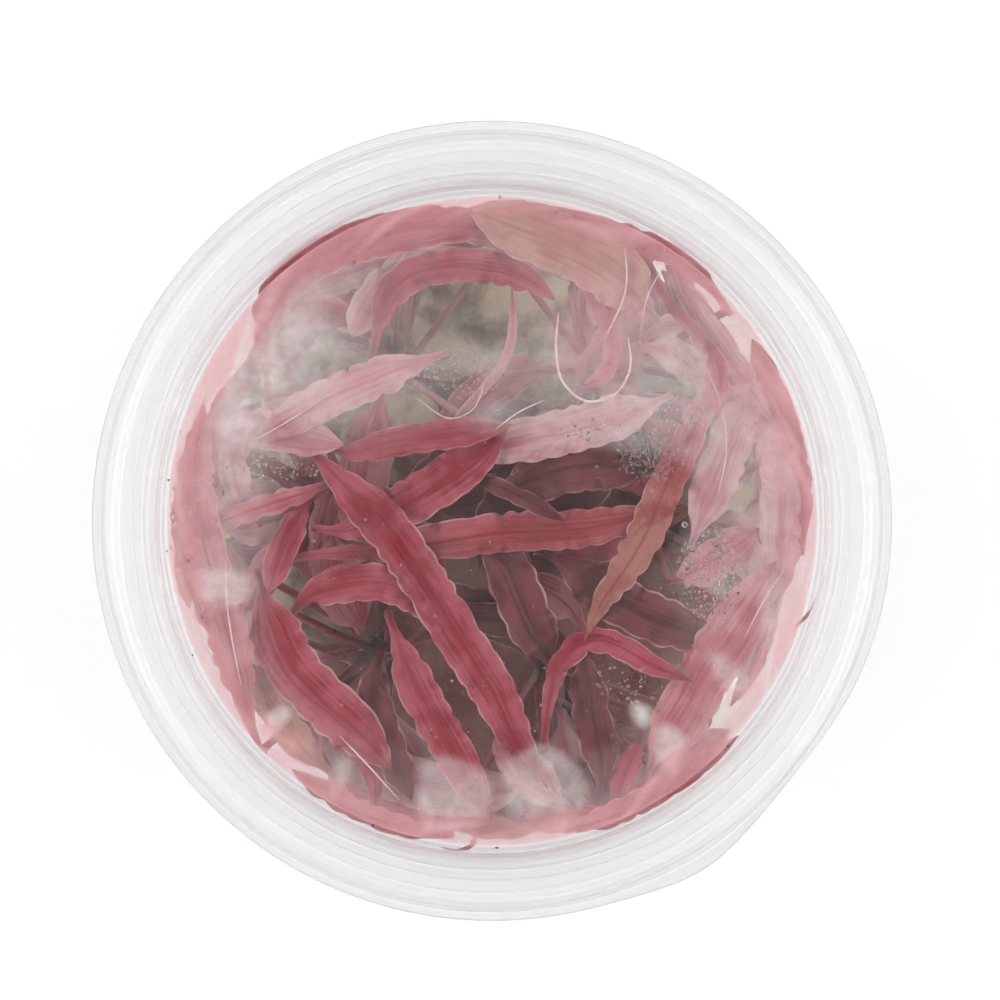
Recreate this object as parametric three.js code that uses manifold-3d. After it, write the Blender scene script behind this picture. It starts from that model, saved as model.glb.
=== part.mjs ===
// A clear round culture cup with a press-on lid. It holds a slab of gel and six small
// plants of a pink, narrow-leaved water trumpet, whose long leaves rise from the gel and
// bend over flat against the underside of the lid.
// Millimetres, +Z up, origin at the centre of the foot of the cup.
import * as THREE from "three";
import Module from "manifold-3d";
import { mergeVertices } from "three/addons/utils/BufferGeometryUtils.js";

const wasm = await Module();
wasm.setup();

// Driving sizes
const lidRadius = 50; // outer edge of the lid's flange
const windowRadius = 40.8; // flat sunken middle of the lid
const windowUnderside = 52; // height of the lid's inner face
const wall = 0.8; // thickness of the plastic
const rimTop = 57.7; // top of the cup's rim
const beadTop = 59; // top of the lid's raised bead
const footRadius = 37;
const cupTopRadius = 42.9; // inside of the cup under its rim
const cupFloorRadius = 37.4; // inside of the cup above its floor
const floorTop = 1.6;
const gap = 0.3; // left between pieces that touch
const gelTop = 14;
const crownTop = 15;
const roundSteps = 48;

const clearPlastic = new THREE.MeshStandardMaterial({
  color: 0xeef0f0,
  roughness: 0.08,
  transparent: true,
  opacity: 0.25,
});
const gelMedium = new THREE.MeshStandardMaterial({
  color: 0xd9d8cd,
  roughness: 0.25,
  transparent: true,
  opacity: 0.6,
});
const crownTissue = new THREE.MeshStandardMaterial({ color: 0xb58078, roughness: 0.6 });
const leafColours = {
  rose: 0xb0525f,
  pink: 0xc98591,
  pale: 0xd8a9ae,
  tan: 0xb78578,
  wine: 0x86404a,
};
const leafMaterials = Object.fromEntries(
  Object.entries(leafColours).map(([name, color]) => [
    name,
    new THREE.MeshStandardMaterial({ color, roughness: 0.45 }),
  ]),
);

const plant = new THREE.Group();

function addMesh(name, geometry, material) {
  const mesh = new THREE.Mesh(geometry, material);
  mesh.name = name;
  plant.add(mesh);
  return mesh;
}

// A solid of revolution about Z from a closed profile of [radius, height] points.
function turned(profile, steps) {
  const points = profile.map(([r, z]) => new THREE.Vector2(r, z));
  return new THREE.LatheGeometry(points, steps).rotateX(Math.PI / 2);
}

function toSolid(geometry) {
  const bare = geometry.clone();
  bare.deleteAttribute("normal");
  bare.deleteAttribute("uv");
  const merged = mergeVertices(bare, 1e-3);
  return new wasm.Manifold(
    new wasm.Mesh({
      numProp: 3,
      vertProperties: merged.attributes.position.array,
      triVerts: new Uint32Array(merged.index.array),
    }),
  );
}

function toGeometry(solid) {
  const mesh = solid.getMesh();
  const geometry = new THREE.BufferGeometry();
  geometry.setAttribute("position", new THREE.BufferAttribute(mesh.vertProperties, 3));
  geometry.setIndex(new THREE.BufferAttribute(mesh.triVerts, 1));
  geometry.computeVertexNormals();
  return geometry;
}

// Cup: a tapered tub on a foot ring, with a straight neck and an outward lip at the rim.
const footWidth = 3.5;
const footRecess = 0.8;
const neckBottom = 50.4;
const lipBottom = 55.6;
const lipRadius = 46.2;
const cupProfile = [
  [0, footRecess],
  [footRadius - footWidth, footRecess],
  [footRadius - footWidth + 0.4, 0],
  [footRadius - 0.2, 0],
  [footRadius + 1, 1],
  [cupTopRadius + wall, neckBottom],
  [cupTopRadius + wall, lipBottom],
  [lipRadius - 0.2, lipBottom + 0.3],
  [lipRadius, rimTop - 0.4],
  [lipRadius - 0.4, rimTop],
  [cupTopRadius + 0.4, rimTop],
  [cupTopRadius, rimTop - 0.5],
  [cupTopRadius, neckBottom + 0.5],
  [cupFloorRadius, floorTop + 2],
  [cupFloorRadius - 1.6, floorTop],
  [0, floorTop],
];
const cupShape = turned(cupProfile, roundSteps);
addMesh("cup", cupShape, clearPlastic);

// Lid: sunken window, plug wall, raised bead over the cup's rim, skirt and flange.
const plugRadius = cupTopRadius - 0.5; // outside of the plug wall
const plugWall = 0.7;
const skirtRadius = 47.9;
const flangeTop = 50.6;
const lidProfile = [
  [0, windowUnderside],
  [windowRadius + 0.5, windowUnderside],
  [plugRadius - 0.4, windowUnderside + 0.7],
  [plugRadius, beadTop - wall - 0.8],
  [plugRadius + 0.5, beadTop - wall - 0.2],
  [skirtRadius - wall - 0.5, beadTop - wall - 0.2],
  [skirtRadius - wall - 0.1, beadTop - wall - 0.8],
  [skirtRadius - wall + 0.1, flangeTop - 0.2],
  [lidRadius, flangeTop - wall],
  [lidRadius, flangeTop - 0.2],
  [skirtRadius + 0.5, flangeTop + 0.3],
  [skirtRadius, beadTop - 1],
  [skirtRadius - 1, beadTop],
  [plugRadius + 0.2, beadTop],
  [plugRadius - plugWall, beadTop - 0.9],
  [plugRadius - plugWall - 0.4, windowUnderside + wall + 0.6],
  [windowRadius - 0.3, windowUnderside + wall],
  [0, windowUnderside + wall],
];

// The flange swells into a small thumb tab on one side and is shaved off beside it.
const tabAngle = THREE.MathUtils.degToRad(-59);
const tabSpread = THREE.MathUtils.degToRad(9);
const tabReach = 1;
const shavedAngle = THREE.MathUtils.degToRad(-38);
const shavedSpread = THREE.MathUtils.degToRad(12);
const shavedDepth = 0.7;
function flangeGrowth(angle) {
  const bump = Math.exp(-(((angle - tabAngle) / tabSpread) ** 2));
  const dip = Math.exp(-(((angle - shavedAngle) / shavedSpread) ** 2));
  return tabReach * bump - shavedDepth * dip;
}
const lidShape = turned(lidProfile, roundSteps);
const flangeInner = skirtRadius + 0.6;
const lidPoints = lidShape.attributes.position;
for (let i = 0; i < lidPoints.count; i += 1) {
  const x = lidPoints.getX(i);
  const y = lidPoints.getY(i);
  const r = Math.hypot(x, y);
  if (r > flangeInner) {
    const share = (r - flangeInner) / (lidRadius - flangeInner);
    const grown = 1 + (flangeGrowth(Math.atan2(y, x)) * share) / r;
    lidPoints.setXY(i, x * grown, y * grown);
  }
}
addMesh("lid", lidShape, clearPlastic);

// Crowns: short rootstocks set in the gel, one for each plant. Their lower leaves come last.
const crownRadius = 2.9;
const crowns = {
  west: [-21, 3],
  northwest: [-13, 21],
  northeast: [14, 20],
  east: [23, -1],
  south: [8, -21],
  southwest: [-15, -18],
};
const crownProfile = (grow) => [
  [0, 8.6 - grow],
  [1.4 + grow, 9.6 - grow],
  [crownRadius + grow, 12.6],
  [crownRadius + grow, crownTop - 0.8 + grow],
  [crownRadius - 0.6 + grow, crownTop + grow],
  [0, crownTop + grow],
];

// Gel: a slab on the cup's floor, with a pocket for each crown.
const gelFloorRadius = cupFloorRadius - 1.7;
let gel = toSolid(
  turned(
    [
      [0, floorTop + gap],
      [gelFloorRadius, floorTop + gap],
      [cupFloorRadius - gap, 4],
      [cupFloorRadius + 0.8, gelTop],
      [0, gelTop],
    ],
    roundSteps,
  ),
);
const crownSteps = 12;
const crownSolids = {};
for (const [name, [x, y]] of Object.entries(crowns)) {
  crownSolids[name] = toSolid(turned(crownProfile(0), crownSteps).translate(x, y, 0));
  gel = gel.subtract(toSolid(turned(crownProfile(gap), crownSteps).translate(x, y, 0)));
}
addMesh("gel", toGeometry(gel), gelMedium);

// Leaves, from the topmost down. Each has a crown that it grows from, a full width, a colour, the
// share of its length over which it widens (swell), and a run of points in plan from where its
// stalk comes up to its tip. A young leaf stays lower: its sink is how far below the lid its
// blade starts and ends.
const leaves = [
  {
    name: "tan_broad", crown: "northeast", width: 7.6, colour: "tan", swell: 0.15,
    run: [[20.5, 25.5], [18.5, 27.5], [15, 31], [10, 34], [3.5, 36.5], [-3, 39]],
  },
  {
    name: "north_rim", crown: "northeast", width: 3.6, colour: "pink", swell: 0.2,
    run: [[29.5, 26.5], [26, 31], [22, 34], [16, 36], [8.5, 37.5], [1, 39.5]],
  },
  {
    name: "north_arc", crown: "northwest", width: 5.8, colour: "rose", swell: 0.3,
    run: [
      [-28, 16], [-28.5, 19.5], [-28, 25.5], [-25.5, 30.5], [-20, 34], [-12.5, 36], [-4.5, 37],
      [2.5, 35.5],
    ],
  },
  {
    name: "tan_pointed", crown: "northeast", width: 4.8, colour: "tan", swell: 0.7,
    run: [
      [18, 35.5], [19.5, 32.5], [22, 27.5], [25, 24], [27.5, 20.5], [28.5, 17], [26, 13.5], [24, 9],
      [21.5, 4], [19, -2], [16, -7], [13.5, -10.5], [11.5, -15],
    ],
  },
  {
    name: "northeast_rim", crown: "northeast", width: 3.6, colour: "pale", swell: 0.2,
    run: [[21, 34.8], [23, 31.5], [25, 27], [29.5, 20.5], [35, 12.5]],
  },
  {
    name: "streaky_pale", crown: "northwest", width: 5, colour: "pale", swell: 0.25,
    run: [[-6, 21], [-8.5, 20], [-14, 18], [-21, 15], [-26.5, 12], [-30, 10]],
  },
  {
    name: "arch", crown: "northwest", width: 4.4, colour: "rose", swell: 0.25,
    run: [[-15, 21], [-14, 25], [-12, 29.5], [-5.5, 32], [3, 31], [8, 27.5]],
  },
  {
    name: "pale_drop", crown: "northwest", width: 4.4, colour: "pale", swell: 0.3,
    run: [[-11, 33], [-13, 30.5], [-15.5, 27], [-17.5, 23]],
  },
  {
    name: "left_rim", crown: "southwest", width: 5.2, colour: "pink", swell: 0.25,
    run: [[-29, -29], [-30, -26], [-31.5, -20], [-34, -10], [-36, -2.5], [-37, 5], [-36, 15]],
  },
  {
    name: "mauve", crown: "west", width: 4.8, colour: "pale", swell: 0.3,
    run: [[-36.5, 11.5], [-34, 11.5], [-29.5, 11.5], [-24, 10.5], [-18.5, 9.5]],
  },
  {
    name: "long_diagonal", crown: "west", width: 5.8, colour: "rose", swell: 0.2,
    run: [
      [-24.5, 10.5], [-22, 8], [-18, 4], [-13, -1], [-8.5, -7.5], [-4.5, -14], [0, -21], [3.5, -28],
      [7, -33.5],
    ],
  },
  {
    name: "upper_red", crown: "west", width: 3.8, colour: "rose", swell: 0.25,
    run: [[-21, 9.5], [-18.5, 8.5], [-11.5, 10], [-4, 11], [2.5, 12]],
  },
  {
    name: "middle_red", crown: "west", width: 5.8, colour: "rose", swell: 0.25,
    run: [[-22, -1], [-19.5, -1.5], [-14, 0.5], [-7.5, 4], [-2, 8], [2, 11.5]],
  },
  {
    name: "small_red", crown: "west", width: 2.2, colour: "wine", swell: 0.3,
    run: [[-4, 6.5], [-2, 5.5], [3.5, 3], [9, 0]],
  },
  {
    name: "salmon", crown: "west", width: 2.8, colour: "pink", swell: 0.3,
    run: [[-20, 5], [-22, 4], [-28, 2], [-33.5, 0], [-38, -2.5]],
  },
  {
    name: "short_left", crown: "west", width: 3.6, colour: "rose", swell: 0.3,
    run: [[-23, 3], [-24, 1], [-26, -3], [-28, -9]],
  },
  {
    name: "long_level", crown: "west", width: 5, colour: "rose", swell: 0.35,
    run: [[-26, -5], [-24.5, -4.5], [-18.5, -4], [-9, -3], [1, -1.5], [11, -1], [18.5, 0.5], [24, 2]],
  },
  {
    name: "wavy_southwest", crown: "southwest", width: 6.8, colour: "rose", swell: 0.2,
    run: [[-29.5, -7], [-28.5, -10], [-25.5, -17.5], [-21.5, -22], [-16.5, -26.5], [-12.5, -31]],
  },
  {
    name: "southwest_arch", crown: "southwest", width: 4.8, colour: "rose", swell: 0.25,
    run: [[-25.5, -12], [-24, -10], [-19, -8], [-12.5, -8], [-8, -10.5], [-5, -14]],
  },
  {
    name: "south_red", crown: "southwest", width: 5, colour: "rose", swell: 0.25,
    run: [[-13, -12], [-12, -14], [-11, -17], [-8.5, -22.5], [-5, -28.5], [-2, -34], [0, -37.5]],
  },
  {
    name: "south_dark", crown: "southwest", width: 4.4, colour: "wine", swell: 0.25,
    run: [[-14, -17], [-15, -20.5], [-14, -25], [-12, -30.5], [-10, -35]],
  },
  {
    name: "folded", crown: "south", width: 3.2, colour: "rose", swell: 0.45,
    run: [[6.5, -28.5], [7, -23], [8.5, -18], [12, -15], [15.5, -15.5], [20, -18], [25, -20]],
  },
  {
    name: "dusty_southeast", crown: "south", width: 7, colour: "pink", swell: 0.2,
    run: [[19.5, -32], [20.5, -29], [24, -24], [27, -18.5], [31, -12.5], [35.5, -5]],
  },
  {
    name: "south_wine", crown: "south", width: 4.8, colour: "wine", swell: 0.25,
    run: [[13.5, -34], [14, -32], [13, -27], [12, -21], [11.5, -16.5]],
  },
  {
    name: "south_rim", crown: "south", width: 3.2, colour: "pink", swell: 0.25,
    run: [[-5.5, -39.5], [-9, -39], [-15, -37], [-20, -34.5], [-25, -31]],
  },
  {
    name: "southeast_rim", crown: "south", width: 3.6, colour: "pink", swell: 0.25,
    run: [[7, -38], [11, -38], [16, -36.5], [24, -32], [31, -27]],
  },
  {
    name: "east_band", crown: "east", width: 5, colour: "pale", swell: 0.25,
    run: [[35.5, -11.5], [36, -7.5], [36, 0], [36, 7.5], [35.5, 14.5]],
  },
  {
    name: "east_rim", crown: "east", width: 3.2, colour: "pink", swell: 0.25,
    run: [[39, -3.5], [39, 0], [38.5, 5], [37, 12.5], [34, 21]],
  },
  {
    name: "curled", crown: "northeast", width: 2.4, colour: "rose", swell: 0.3,
    run: [[11.5, 29.5], [13, 27], [15, 23], [15, 19.5], [11, 16.5]],
  },
  {
    name: "tan_slip", crown: "northeast", width: 2, colour: "tan", swell: 0.3,
    run: [[11.5, 20.5], [13.5, 23], [16.5, 27.5], [17.5, 34]],
  },
  {
    name: "pale_east", crown: "northeast", width: 5.8, colour: "pale", swell: 0.2,
    run: [[22, 15.5], [20, 14.5], [14, 12.5], [8.5, 11], [1.5, 9.5], [-3, 8]],
  },
  {
    name: "pale_strip", crown: "northwest", width: 1.2, colour: "pale", swell: 0.3,
    run: [[-4, 13.5], [-2.5, 15], [1, 19], [2.5, 23], [2.5, 29]],
  },
  {
    name: "deep_south", crown: "south", width: 6.2, colour: "wine", swell: 0.25,
    run: [[8, -19], [6, -15], [3.5, -10], [2, -6], [-1.5, -3]],
  },
  {
    name: "deep_east", crown: "east", width: 6.2, colour: "wine", swell: 0.25,
    run: [[6.5, -4], [10, -6], [15, -9.5], [21, -12.5], [29, -15]],
  },
  {
    name: "deep_middle", crown: "east", width: 6.4, colour: "wine", swell: 0.25,
    run: [[21, 6.5], [18.5, 6.5], [12, 7], [6, 5.5], [1, 3.5]],
  },
  {
    name: "east_upright", crown: "east", width: 5.6, colour: "pale", swell: 0.25,
    run: [[25, -3], [26, 0], [28, 5], [30.5, 11.5], [32.5, 17]],
  },
  {
    name: "northeast_deep", crown: "northeast", width: 4.4, colour: "pale", swell: 0.25,
    run: [[18.5, 22], [21.5, 21.5], [26, 18.5], [30.5, 15]],
  },
  {
    name: "east_low", crown: "east", width: 5, colour: "pink", swell: 0.25,
    run: [[22.5, -7.5], [25, -6.5], [28.5, -4.5], [33.5, -1]],
  },
  {
    name: "deep_southwest", crown: "southwest", width: 4.2, colour: "tan", swell: 0.25,
    run: [[-20.5, -31.5], [-24, -28], [-27.5, -23], [-30, -18]],
  },
  {
    name: "southwest_small", crown: "southwest", width: 2.6, colour: "rose", swell: 0.3,
    run: [[-15, -36], [-14.5, -33], [-16, -30], [-18.5, -28]],
  },
  {
    name: "deep_west", crown: "west", width: 3.8, colour: "pale", swell: 0.3,
    run: [[-29.5, 0], [-31.5, 3], [-32.5, 7.5], [-31, 12.5]],
  },
  {
    name: "south_pale", crown: "south", width: 5.4, colour: "pale", swell: 0.25,
    run: [[9, -35.5], [6.5, -33.5], [3.5, -30], [1, -25.5]],
  },
  {
    name: "southeast_small", crown: "south", width: 3, colour: "rose", swell: 0.3,
    run: [[15.5, -37], [16, -34], [17, -31], [18.5, -27.5]],
  },
  {
    name: "young_west", crown: "west", width: 4.4, colour: "pink", swell: 0.3,
    sink: [12, 20],
    run: [[-25, -2], [-29, -6], [-32, -12]],
  },
  {
    name: "young_northwest", crown: "northwest", width: 4.2, colour: "rose", swell: 0.3,
    sink: [10, 18],
    run: [[-17, 25], [-22, 27], [-27, 25.5]],
  },
  {
    name: "young_northeast", crown: "northeast", width: 4.4, colour: "pink", swell: 0.3,
    sink: [12, 20],
    run: [[19, 13.5], [24, 10], [30, 8]],
  },
  {
    name: "young_east", crown: "east", width: 4.6, colour: "rose", swell: 0.3,
    sink: [12, 22],
    run: [[26, -8], [29, -13], [33, -18]],
  },
  {
    name: "young_south", crown: "south", width: 4.4, colour: "pink", swell: 0.3,
    sink: [12, 20],
    run: [[12, -14], [8, -9.5], [2, -8]],
  },
  {
    name: "young_southwest", crown: "southwest", width: 4.4, colour: "rose", swell: 0.3,
    sink: [12, 20],
    run: [[-20, -22], [-26, -22], [-31, -19]],
  },
];

// Half the width along a leaf, from 0 where its stalk comes up to 1 at its tip: a slender
// stalk, a long blade and a drawn-out point.
const stalkHalf = 0.5;
const tipHalf = 0.15;
const tipStart = 0.68;
const tipPower = 2.2;
const bladeStart = 0.03;
function halfWidth(t, leaf) {
  const blade = THREE.MathUtils.smoothstep(t, bladeStart, 2 * bladeStart + leaf.swell);
  const narrowing = Math.max(0, (t - tipStart) / (1 - tipStart)) ** tipPower;
  const half = (stalkHalf + (leaf.width / 2 - stalkHalf) * blade) * (1 - narrowing);
  return Math.max(tipHalf, half);
}

// Stacking. The leaves are laid one under another in the order of the list. Each runs as high
// as it can below those already laid, and changes height gently. A map of square cells holds
// how far below the lid each spot is taken.
const leafThick = 0.6;
const leafGap = 0.5;
const stationStep = 1;
const easing = 6; // stations over which a leaf changes height
const cell = 0.75;
const mapCells = Math.ceil(88 / cell);
const taken = new Float32Array(mapCells * mapCells);

function cellsAcross(station) {
  const cells = [];
  for (let offset = -station.half; offset <= station.half; offset += cell / 2) {
    const column = Math.floor((station.at.x + station.across.x * offset) / cell + mapCells / 2);
    const row = Math.floor((station.at.y + station.across.y * offset) / cell + mapCells / 2);
    cells.push(row * mapCells + column);
  }
  return cells;
}

function nearby(list, i, reduce) {
  return reduce(list.slice(Math.max(0, i - easing), i + easing + 1));
}

function layLeaf(leaf) {
  const corners = leaf.run.map(([x, y]) => new THREE.Vector3(x, y, 0));
  const plan = new THREE.CatmullRomCurve3(corners, false, "centripetal");
  const count = Math.ceil(plan.getLength() / stationStep);
  const sink = leaf.sink ?? [0, 0];
  const stations = [];
  for (let i = 0; i <= count; i += 1) {
    const t = i / count;
    const along = plan.getTangentAt(t);
    const across = new THREE.Vector3(along.y, -along.x, 0);
    stations.push({ t, at: plan.getPointAt(t), across, half: halfWidth(t, leaf) });
  }
  const free = stations.map((station) => {
    const shallowest = THREE.MathUtils.lerp(sink[0], sink[1], station.t);
    return Math.max(shallowest, ...cellsAcross(station).map((c) => taken[c]));
  });
  const lowest = free.map((_, i) => nearby(free, i, (part) => Math.max(...part)));
  const mean = (part) => part.reduce((sum, depth) => sum + depth, 0) / part.length;
  stations.forEach((station, i) => {
    station.depth = nearby(lowest, i, mean) + leafGap + leafThick / 2;
  });
  return stations;
}

function takeCells(stations) {
  for (const station of stations) {
    for (const c of cellsAcross(station)) {
      taken[c] = Math.max(taken[c], station.depth + leafThick / 2);
    }
  }
}

// A leaf's whole spine: up from its crown, over in a bend and along its blade to the tip.
const bend = 3.5; // how far along and how far below the blade a stalk turns over
const stalkRise = 11; // how far below the blade a stalk turns upright
const stalkStart = 5; // height over the root at which a stalk starts to lean
const leanLow = 0.12; // share of its whole lean that it has there
const leanHigh = 0.6; // and further up, at nearly the same share of its height
const leanHeight = 0.62;
const bladeRings = 11;
const bladeSpacing = 5;

function leafSpine(stations, root, ringSpacing) {
  const place = (station, drop) =>
    new THREE.Vector3(station.at.x, station.at.y, windowUnderside - station.depth - drop);
  const foot = stations[0];
  const clear = windowUnderside - foot.depth - root.z;
  const upright = place(foot, Math.min(stalkRise, clear / 2));
  const low = root.clone().lerp(upright, leanLow);
  low.z = root.z + Math.min(stalkStart, clear / 4);
  const high = root.clone().lerp(upright, leanHigh);
  high.z = root.z + (upright.z - root.z) * leanHeight;
  const points = [root, low, high, upright, place(foot, bend)].map((at) => ({ at, half: stalkHalf }));
  const blade = stations.slice(Math.round(bend / stationStep));
  const rings = Math.min(bladeRings, Math.ceil(blade.length / ringSpacing));
  for (let i = 0; i <= rings; i += 1) {
    const station = blade[Math.round((i / rings) * (blade.length - 1))];
    points.push({ at: place(station, 0), half: station.half, across: station.across });
  }
  return points;
}

// A leaf's surface: a thin section carried along the spine. Each corner of a section is a share
// of the leaf's half width across and a share of its thickness up. A lens has four corners, and
// a ridge three.
const lens = [[1, 0], [0, 1], [-1, 0], [0, -1]];
const ridge = [[1, -0.5], [0, 1], [-1, -0.5]];

function leafGeometry(points, section) {
  const last = points.length - 1;
  points.forEach((point, i) => {
    const before = points[Math.max(0, i - 1)].at;
    const after = points[Math.min(last, i + 1)].at;
    point.along = after.clone().sub(before).normalize();
  });
  for (let i = last; i >= 0; i -= 1) {
    const { along } = points[i];
    const across = (points[i].across ?? points[i + 1].across).clone();
    points[i].across = across.addScaledVector(along, -across.dot(along)).normalize();
  }
  const corners = [];
  points.forEach(({ at, along, across, half }, i) => {
    const up = new THREE.Vector3().crossVectors(across, along);
    const thick = i === last ? tipHalf : Math.max(leafThick / 2, (stalkHalf - half) * 2);
    for (const [over, rise] of section) {
      corners.push(
        at.clone().addScaledVector(across, over * half).addScaledVector(up, rise * thick),
      );
    }
  });
  const sides = section.length;
  const faces = [];
  for (let k = 1; k < sides - 1; k += 1) {
    faces.push(0, k, k + 1);
    faces.push(last * sides, last * sides + k + 1, last * sides + k);
  }
  for (let i = 0; i < last; i += 1) {
    for (let k = 0; k < sides; k += 1) {
      const a = i * sides + k;
      const b = i * sides + ((k + 1) % sides);
      faces.push(a, b + sides, b, a, a + sides, b + sides);
    }
  }
  const geometry = new THREE.BufferGeometry().setFromPoints(corners);
  geometry.setIndex(faces);
  geometry.computeVertexNormals();
  return geometry;
}

// Each crown's leaves stand round its top in the order of the ways that they lean.
const rootRing = 2.1;
let standing = gel.add(toSolid(cupShape));
for (const leaf of leaves) {
  leaf.stations = layLeaf(leaf);
  takeCells(leaf.stations);
}
for (const [crownName, [cx, cy]] of Object.entries(crowns)) {
  const own = leaves.filter((leaf) => leaf.crown === crownName);
  const lean = ({ run }) => Math.atan2(run[0][1] - cy, run[0][0] - cx);
  own.sort((a, b) => lean(a) - lean(b));
  const share = (2 * Math.PI) / own.length;
  const first = own.reduce((sum, leaf, i) => sum + lean(leaf) - i * share, 0) / own.length;
  own.forEach((leaf, i) => {
    const angle = first + i * share;
    const x = cx + rootRing * Math.cos(angle);
    const y = cy + rootRing * Math.sin(angle);
    const root = new THREE.Vector3(x, y, crownTop + gap);
    const geometry = leafGeometry(leafSpine(leaf.stations, root, bladeSpacing), lens);
    addMesh(`leaf_${leaf.name}`, geometry, leafMaterials[leaf.colour]);
    standing = standing.add(toSolid(geometry));
  });
}

// Lower leaves: every crown also carries shorter leaves, grown in one piece with it. They would
// leave its side by turns of the golden angle, each deeper below the lid than the one before,
// and grow only where nothing stands in their way.
const lower = {
  tries: 3600,
  turn: 2.39996,
  rootRadius: 2.3,
  rootDepth: 0.6, // below the top of the crown
  bladeStart: 4.5, // from the middle of the crown
  step: 6.5, // between the points of a run
  leastPoints: 3,
  morePoints: 3,
  mostCurl: 0.5,
  curlStep: 5.13,
  wallReach: 34.5, // leaves turn along the wall here
  width: [4, 7.6],
  share: 0.381966, // step from one leaf's width to the next, between the least and the most
  sink: [4, 24],
  droop: 3,
  swell: 0.25,
  ringSpacing: 8,
};
// Spots of gel that the lower leaves leave bare: x, y and radius.
const bareSpots = [[-21, 23, 6], [-8, 25, 6], [-10, 14.5, 4]];

function lowerRun(k, [cx, cy]) {
  let heading = k * lower.turn;
  const curl = lower.mostCurl * Math.sin(k * lower.curlStep);
  let x = cx + lower.bladeStart * Math.cos(heading);
  let y = cy + lower.bladeStart * Math.sin(heading);
  const run = [];
  const points = lower.leastPoints + (k % lower.morePoints);
  for (let i = 0; i < points; i += 1) {
    const far = Math.hypot(x, y);
    if (far > lower.wallReach) {
      x *= lower.wallReach / far;
      y *= lower.wallReach / far;
      const along = Math.atan2(x, -y);
      heading = Math.cos(along - heading) > 0 ? along : along + Math.PI;
    }
    run.push([x, y]);
    x += lower.step * Math.cos(heading);
    y += lower.step * Math.sin(heading);
    heading += curl;
  }
  return run;
}

const isBare = ([x, y]) => bareSpots.some(([bx, by, r]) => Math.hypot(x - bx, y - by) < r);

function lowerLeaf(k, centre) {
  const sink = THREE.MathUtils.lerp(...lower.sink, k / lower.tries);
  return {
    run: lowerRun(k, centre),
    width: THREE.MathUtils.lerp(...lower.width, (k * lower.share) % 1),
    swell: lower.swell,
    sink: [sink, sink + lower.droop],
  };
}

const crownNames = Object.keys(crowns);
for (let k = 0; k < lower.tries; k += 1) {
  const name = crownNames[k % crownNames.length];
  const [cx, cy] = crowns[name];
  const leaf = lowerLeaf(k, crowns[name]);
  const stations = layLeaf(leaf);
  const root = new THREE.Vector3(
    cx + lower.rootRadius * Math.cos(k * lower.turn),
    cy + lower.rootRadius * Math.sin(k * lower.turn),
    crownTop - lower.rootDepth,
  );
  const solid = toSolid(leafGeometry(leafSpine(stations, root, lower.ringSpacing), ridge));
  const others = crownNames.filter((other) => other !== name).map((other) => crownSolids[other]);
  const isFree = [standing, ...others].every((other) => other.intersect(solid).volume() === 0);
  if (isFree && !leaf.run.some(isBare)) {
    crownSolids[name] = crownSolids[name].add(solid);
    standing = standing.add(solid);
    takeCells(stations);
  }
}
for (const name of crownNames) {
  addMesh(`crown_${name}`, toGeometry(crownSolids[name]), crownTissue);
}

export default plant;
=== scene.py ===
# A clear round culture cup, seen from straight above through its lid: six small pink water
# trumpets stand in cloudy gel, and their long wavy leaves lie pressed under the lid.
# Sizes in the dictionaries are millimetres; everything put into a mesh is metres.
import math

import bpy
import numpy as np
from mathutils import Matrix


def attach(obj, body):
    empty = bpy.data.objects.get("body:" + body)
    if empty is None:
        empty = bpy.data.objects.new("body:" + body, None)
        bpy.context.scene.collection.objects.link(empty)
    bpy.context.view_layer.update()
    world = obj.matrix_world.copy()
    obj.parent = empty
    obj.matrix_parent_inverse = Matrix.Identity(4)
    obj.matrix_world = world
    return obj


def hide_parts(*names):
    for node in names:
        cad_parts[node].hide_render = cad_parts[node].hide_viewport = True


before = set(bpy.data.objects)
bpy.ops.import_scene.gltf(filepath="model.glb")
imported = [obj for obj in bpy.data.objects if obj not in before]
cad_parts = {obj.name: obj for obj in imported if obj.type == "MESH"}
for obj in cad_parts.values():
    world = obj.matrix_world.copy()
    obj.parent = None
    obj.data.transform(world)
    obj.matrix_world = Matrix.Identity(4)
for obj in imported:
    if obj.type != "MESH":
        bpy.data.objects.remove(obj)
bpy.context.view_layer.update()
mm = 0.001
goldenTurn = 2.39996  # radians between one leaf or root and the next
print("frame loaded")


# Small tools

def smoothStep(low, high, x):
    # 0 below low, 1 above high, and an eased cubic between
    t = np.clip((x - low) / (high - low), 0, 1)
    return t * t * (3 - 2 * t)


def unit(v):
    # the same directions, each of length 1
    return v / np.maximum(np.linalg.norm(v, axis=-1, keepdims=True), 1e-12)


def wobble(x, seed, waves=3):
    # a smooth made-up wave: a few sines of unlike lengths and phases, between about -1 and 1
    total = np.zeros_like(np.asarray(x, float))
    for k in range(waves):
        phase = math.sin(seed * 12.9898 + k * 78.233) * 43758.5453
        total = total + np.sin(x * (1 + 0.62 * k) + phase) / (1 + 0.5 * k)
    return total / 1.9


def roundTurn(steps):
    # equal angles once round
    return np.arange(steps) / steps * 2 * math.pi


def scattered(k, share):
    # the k-th of many numbers between 0 and 1 that stay evenly spread
    return (k * share) % 1


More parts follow.
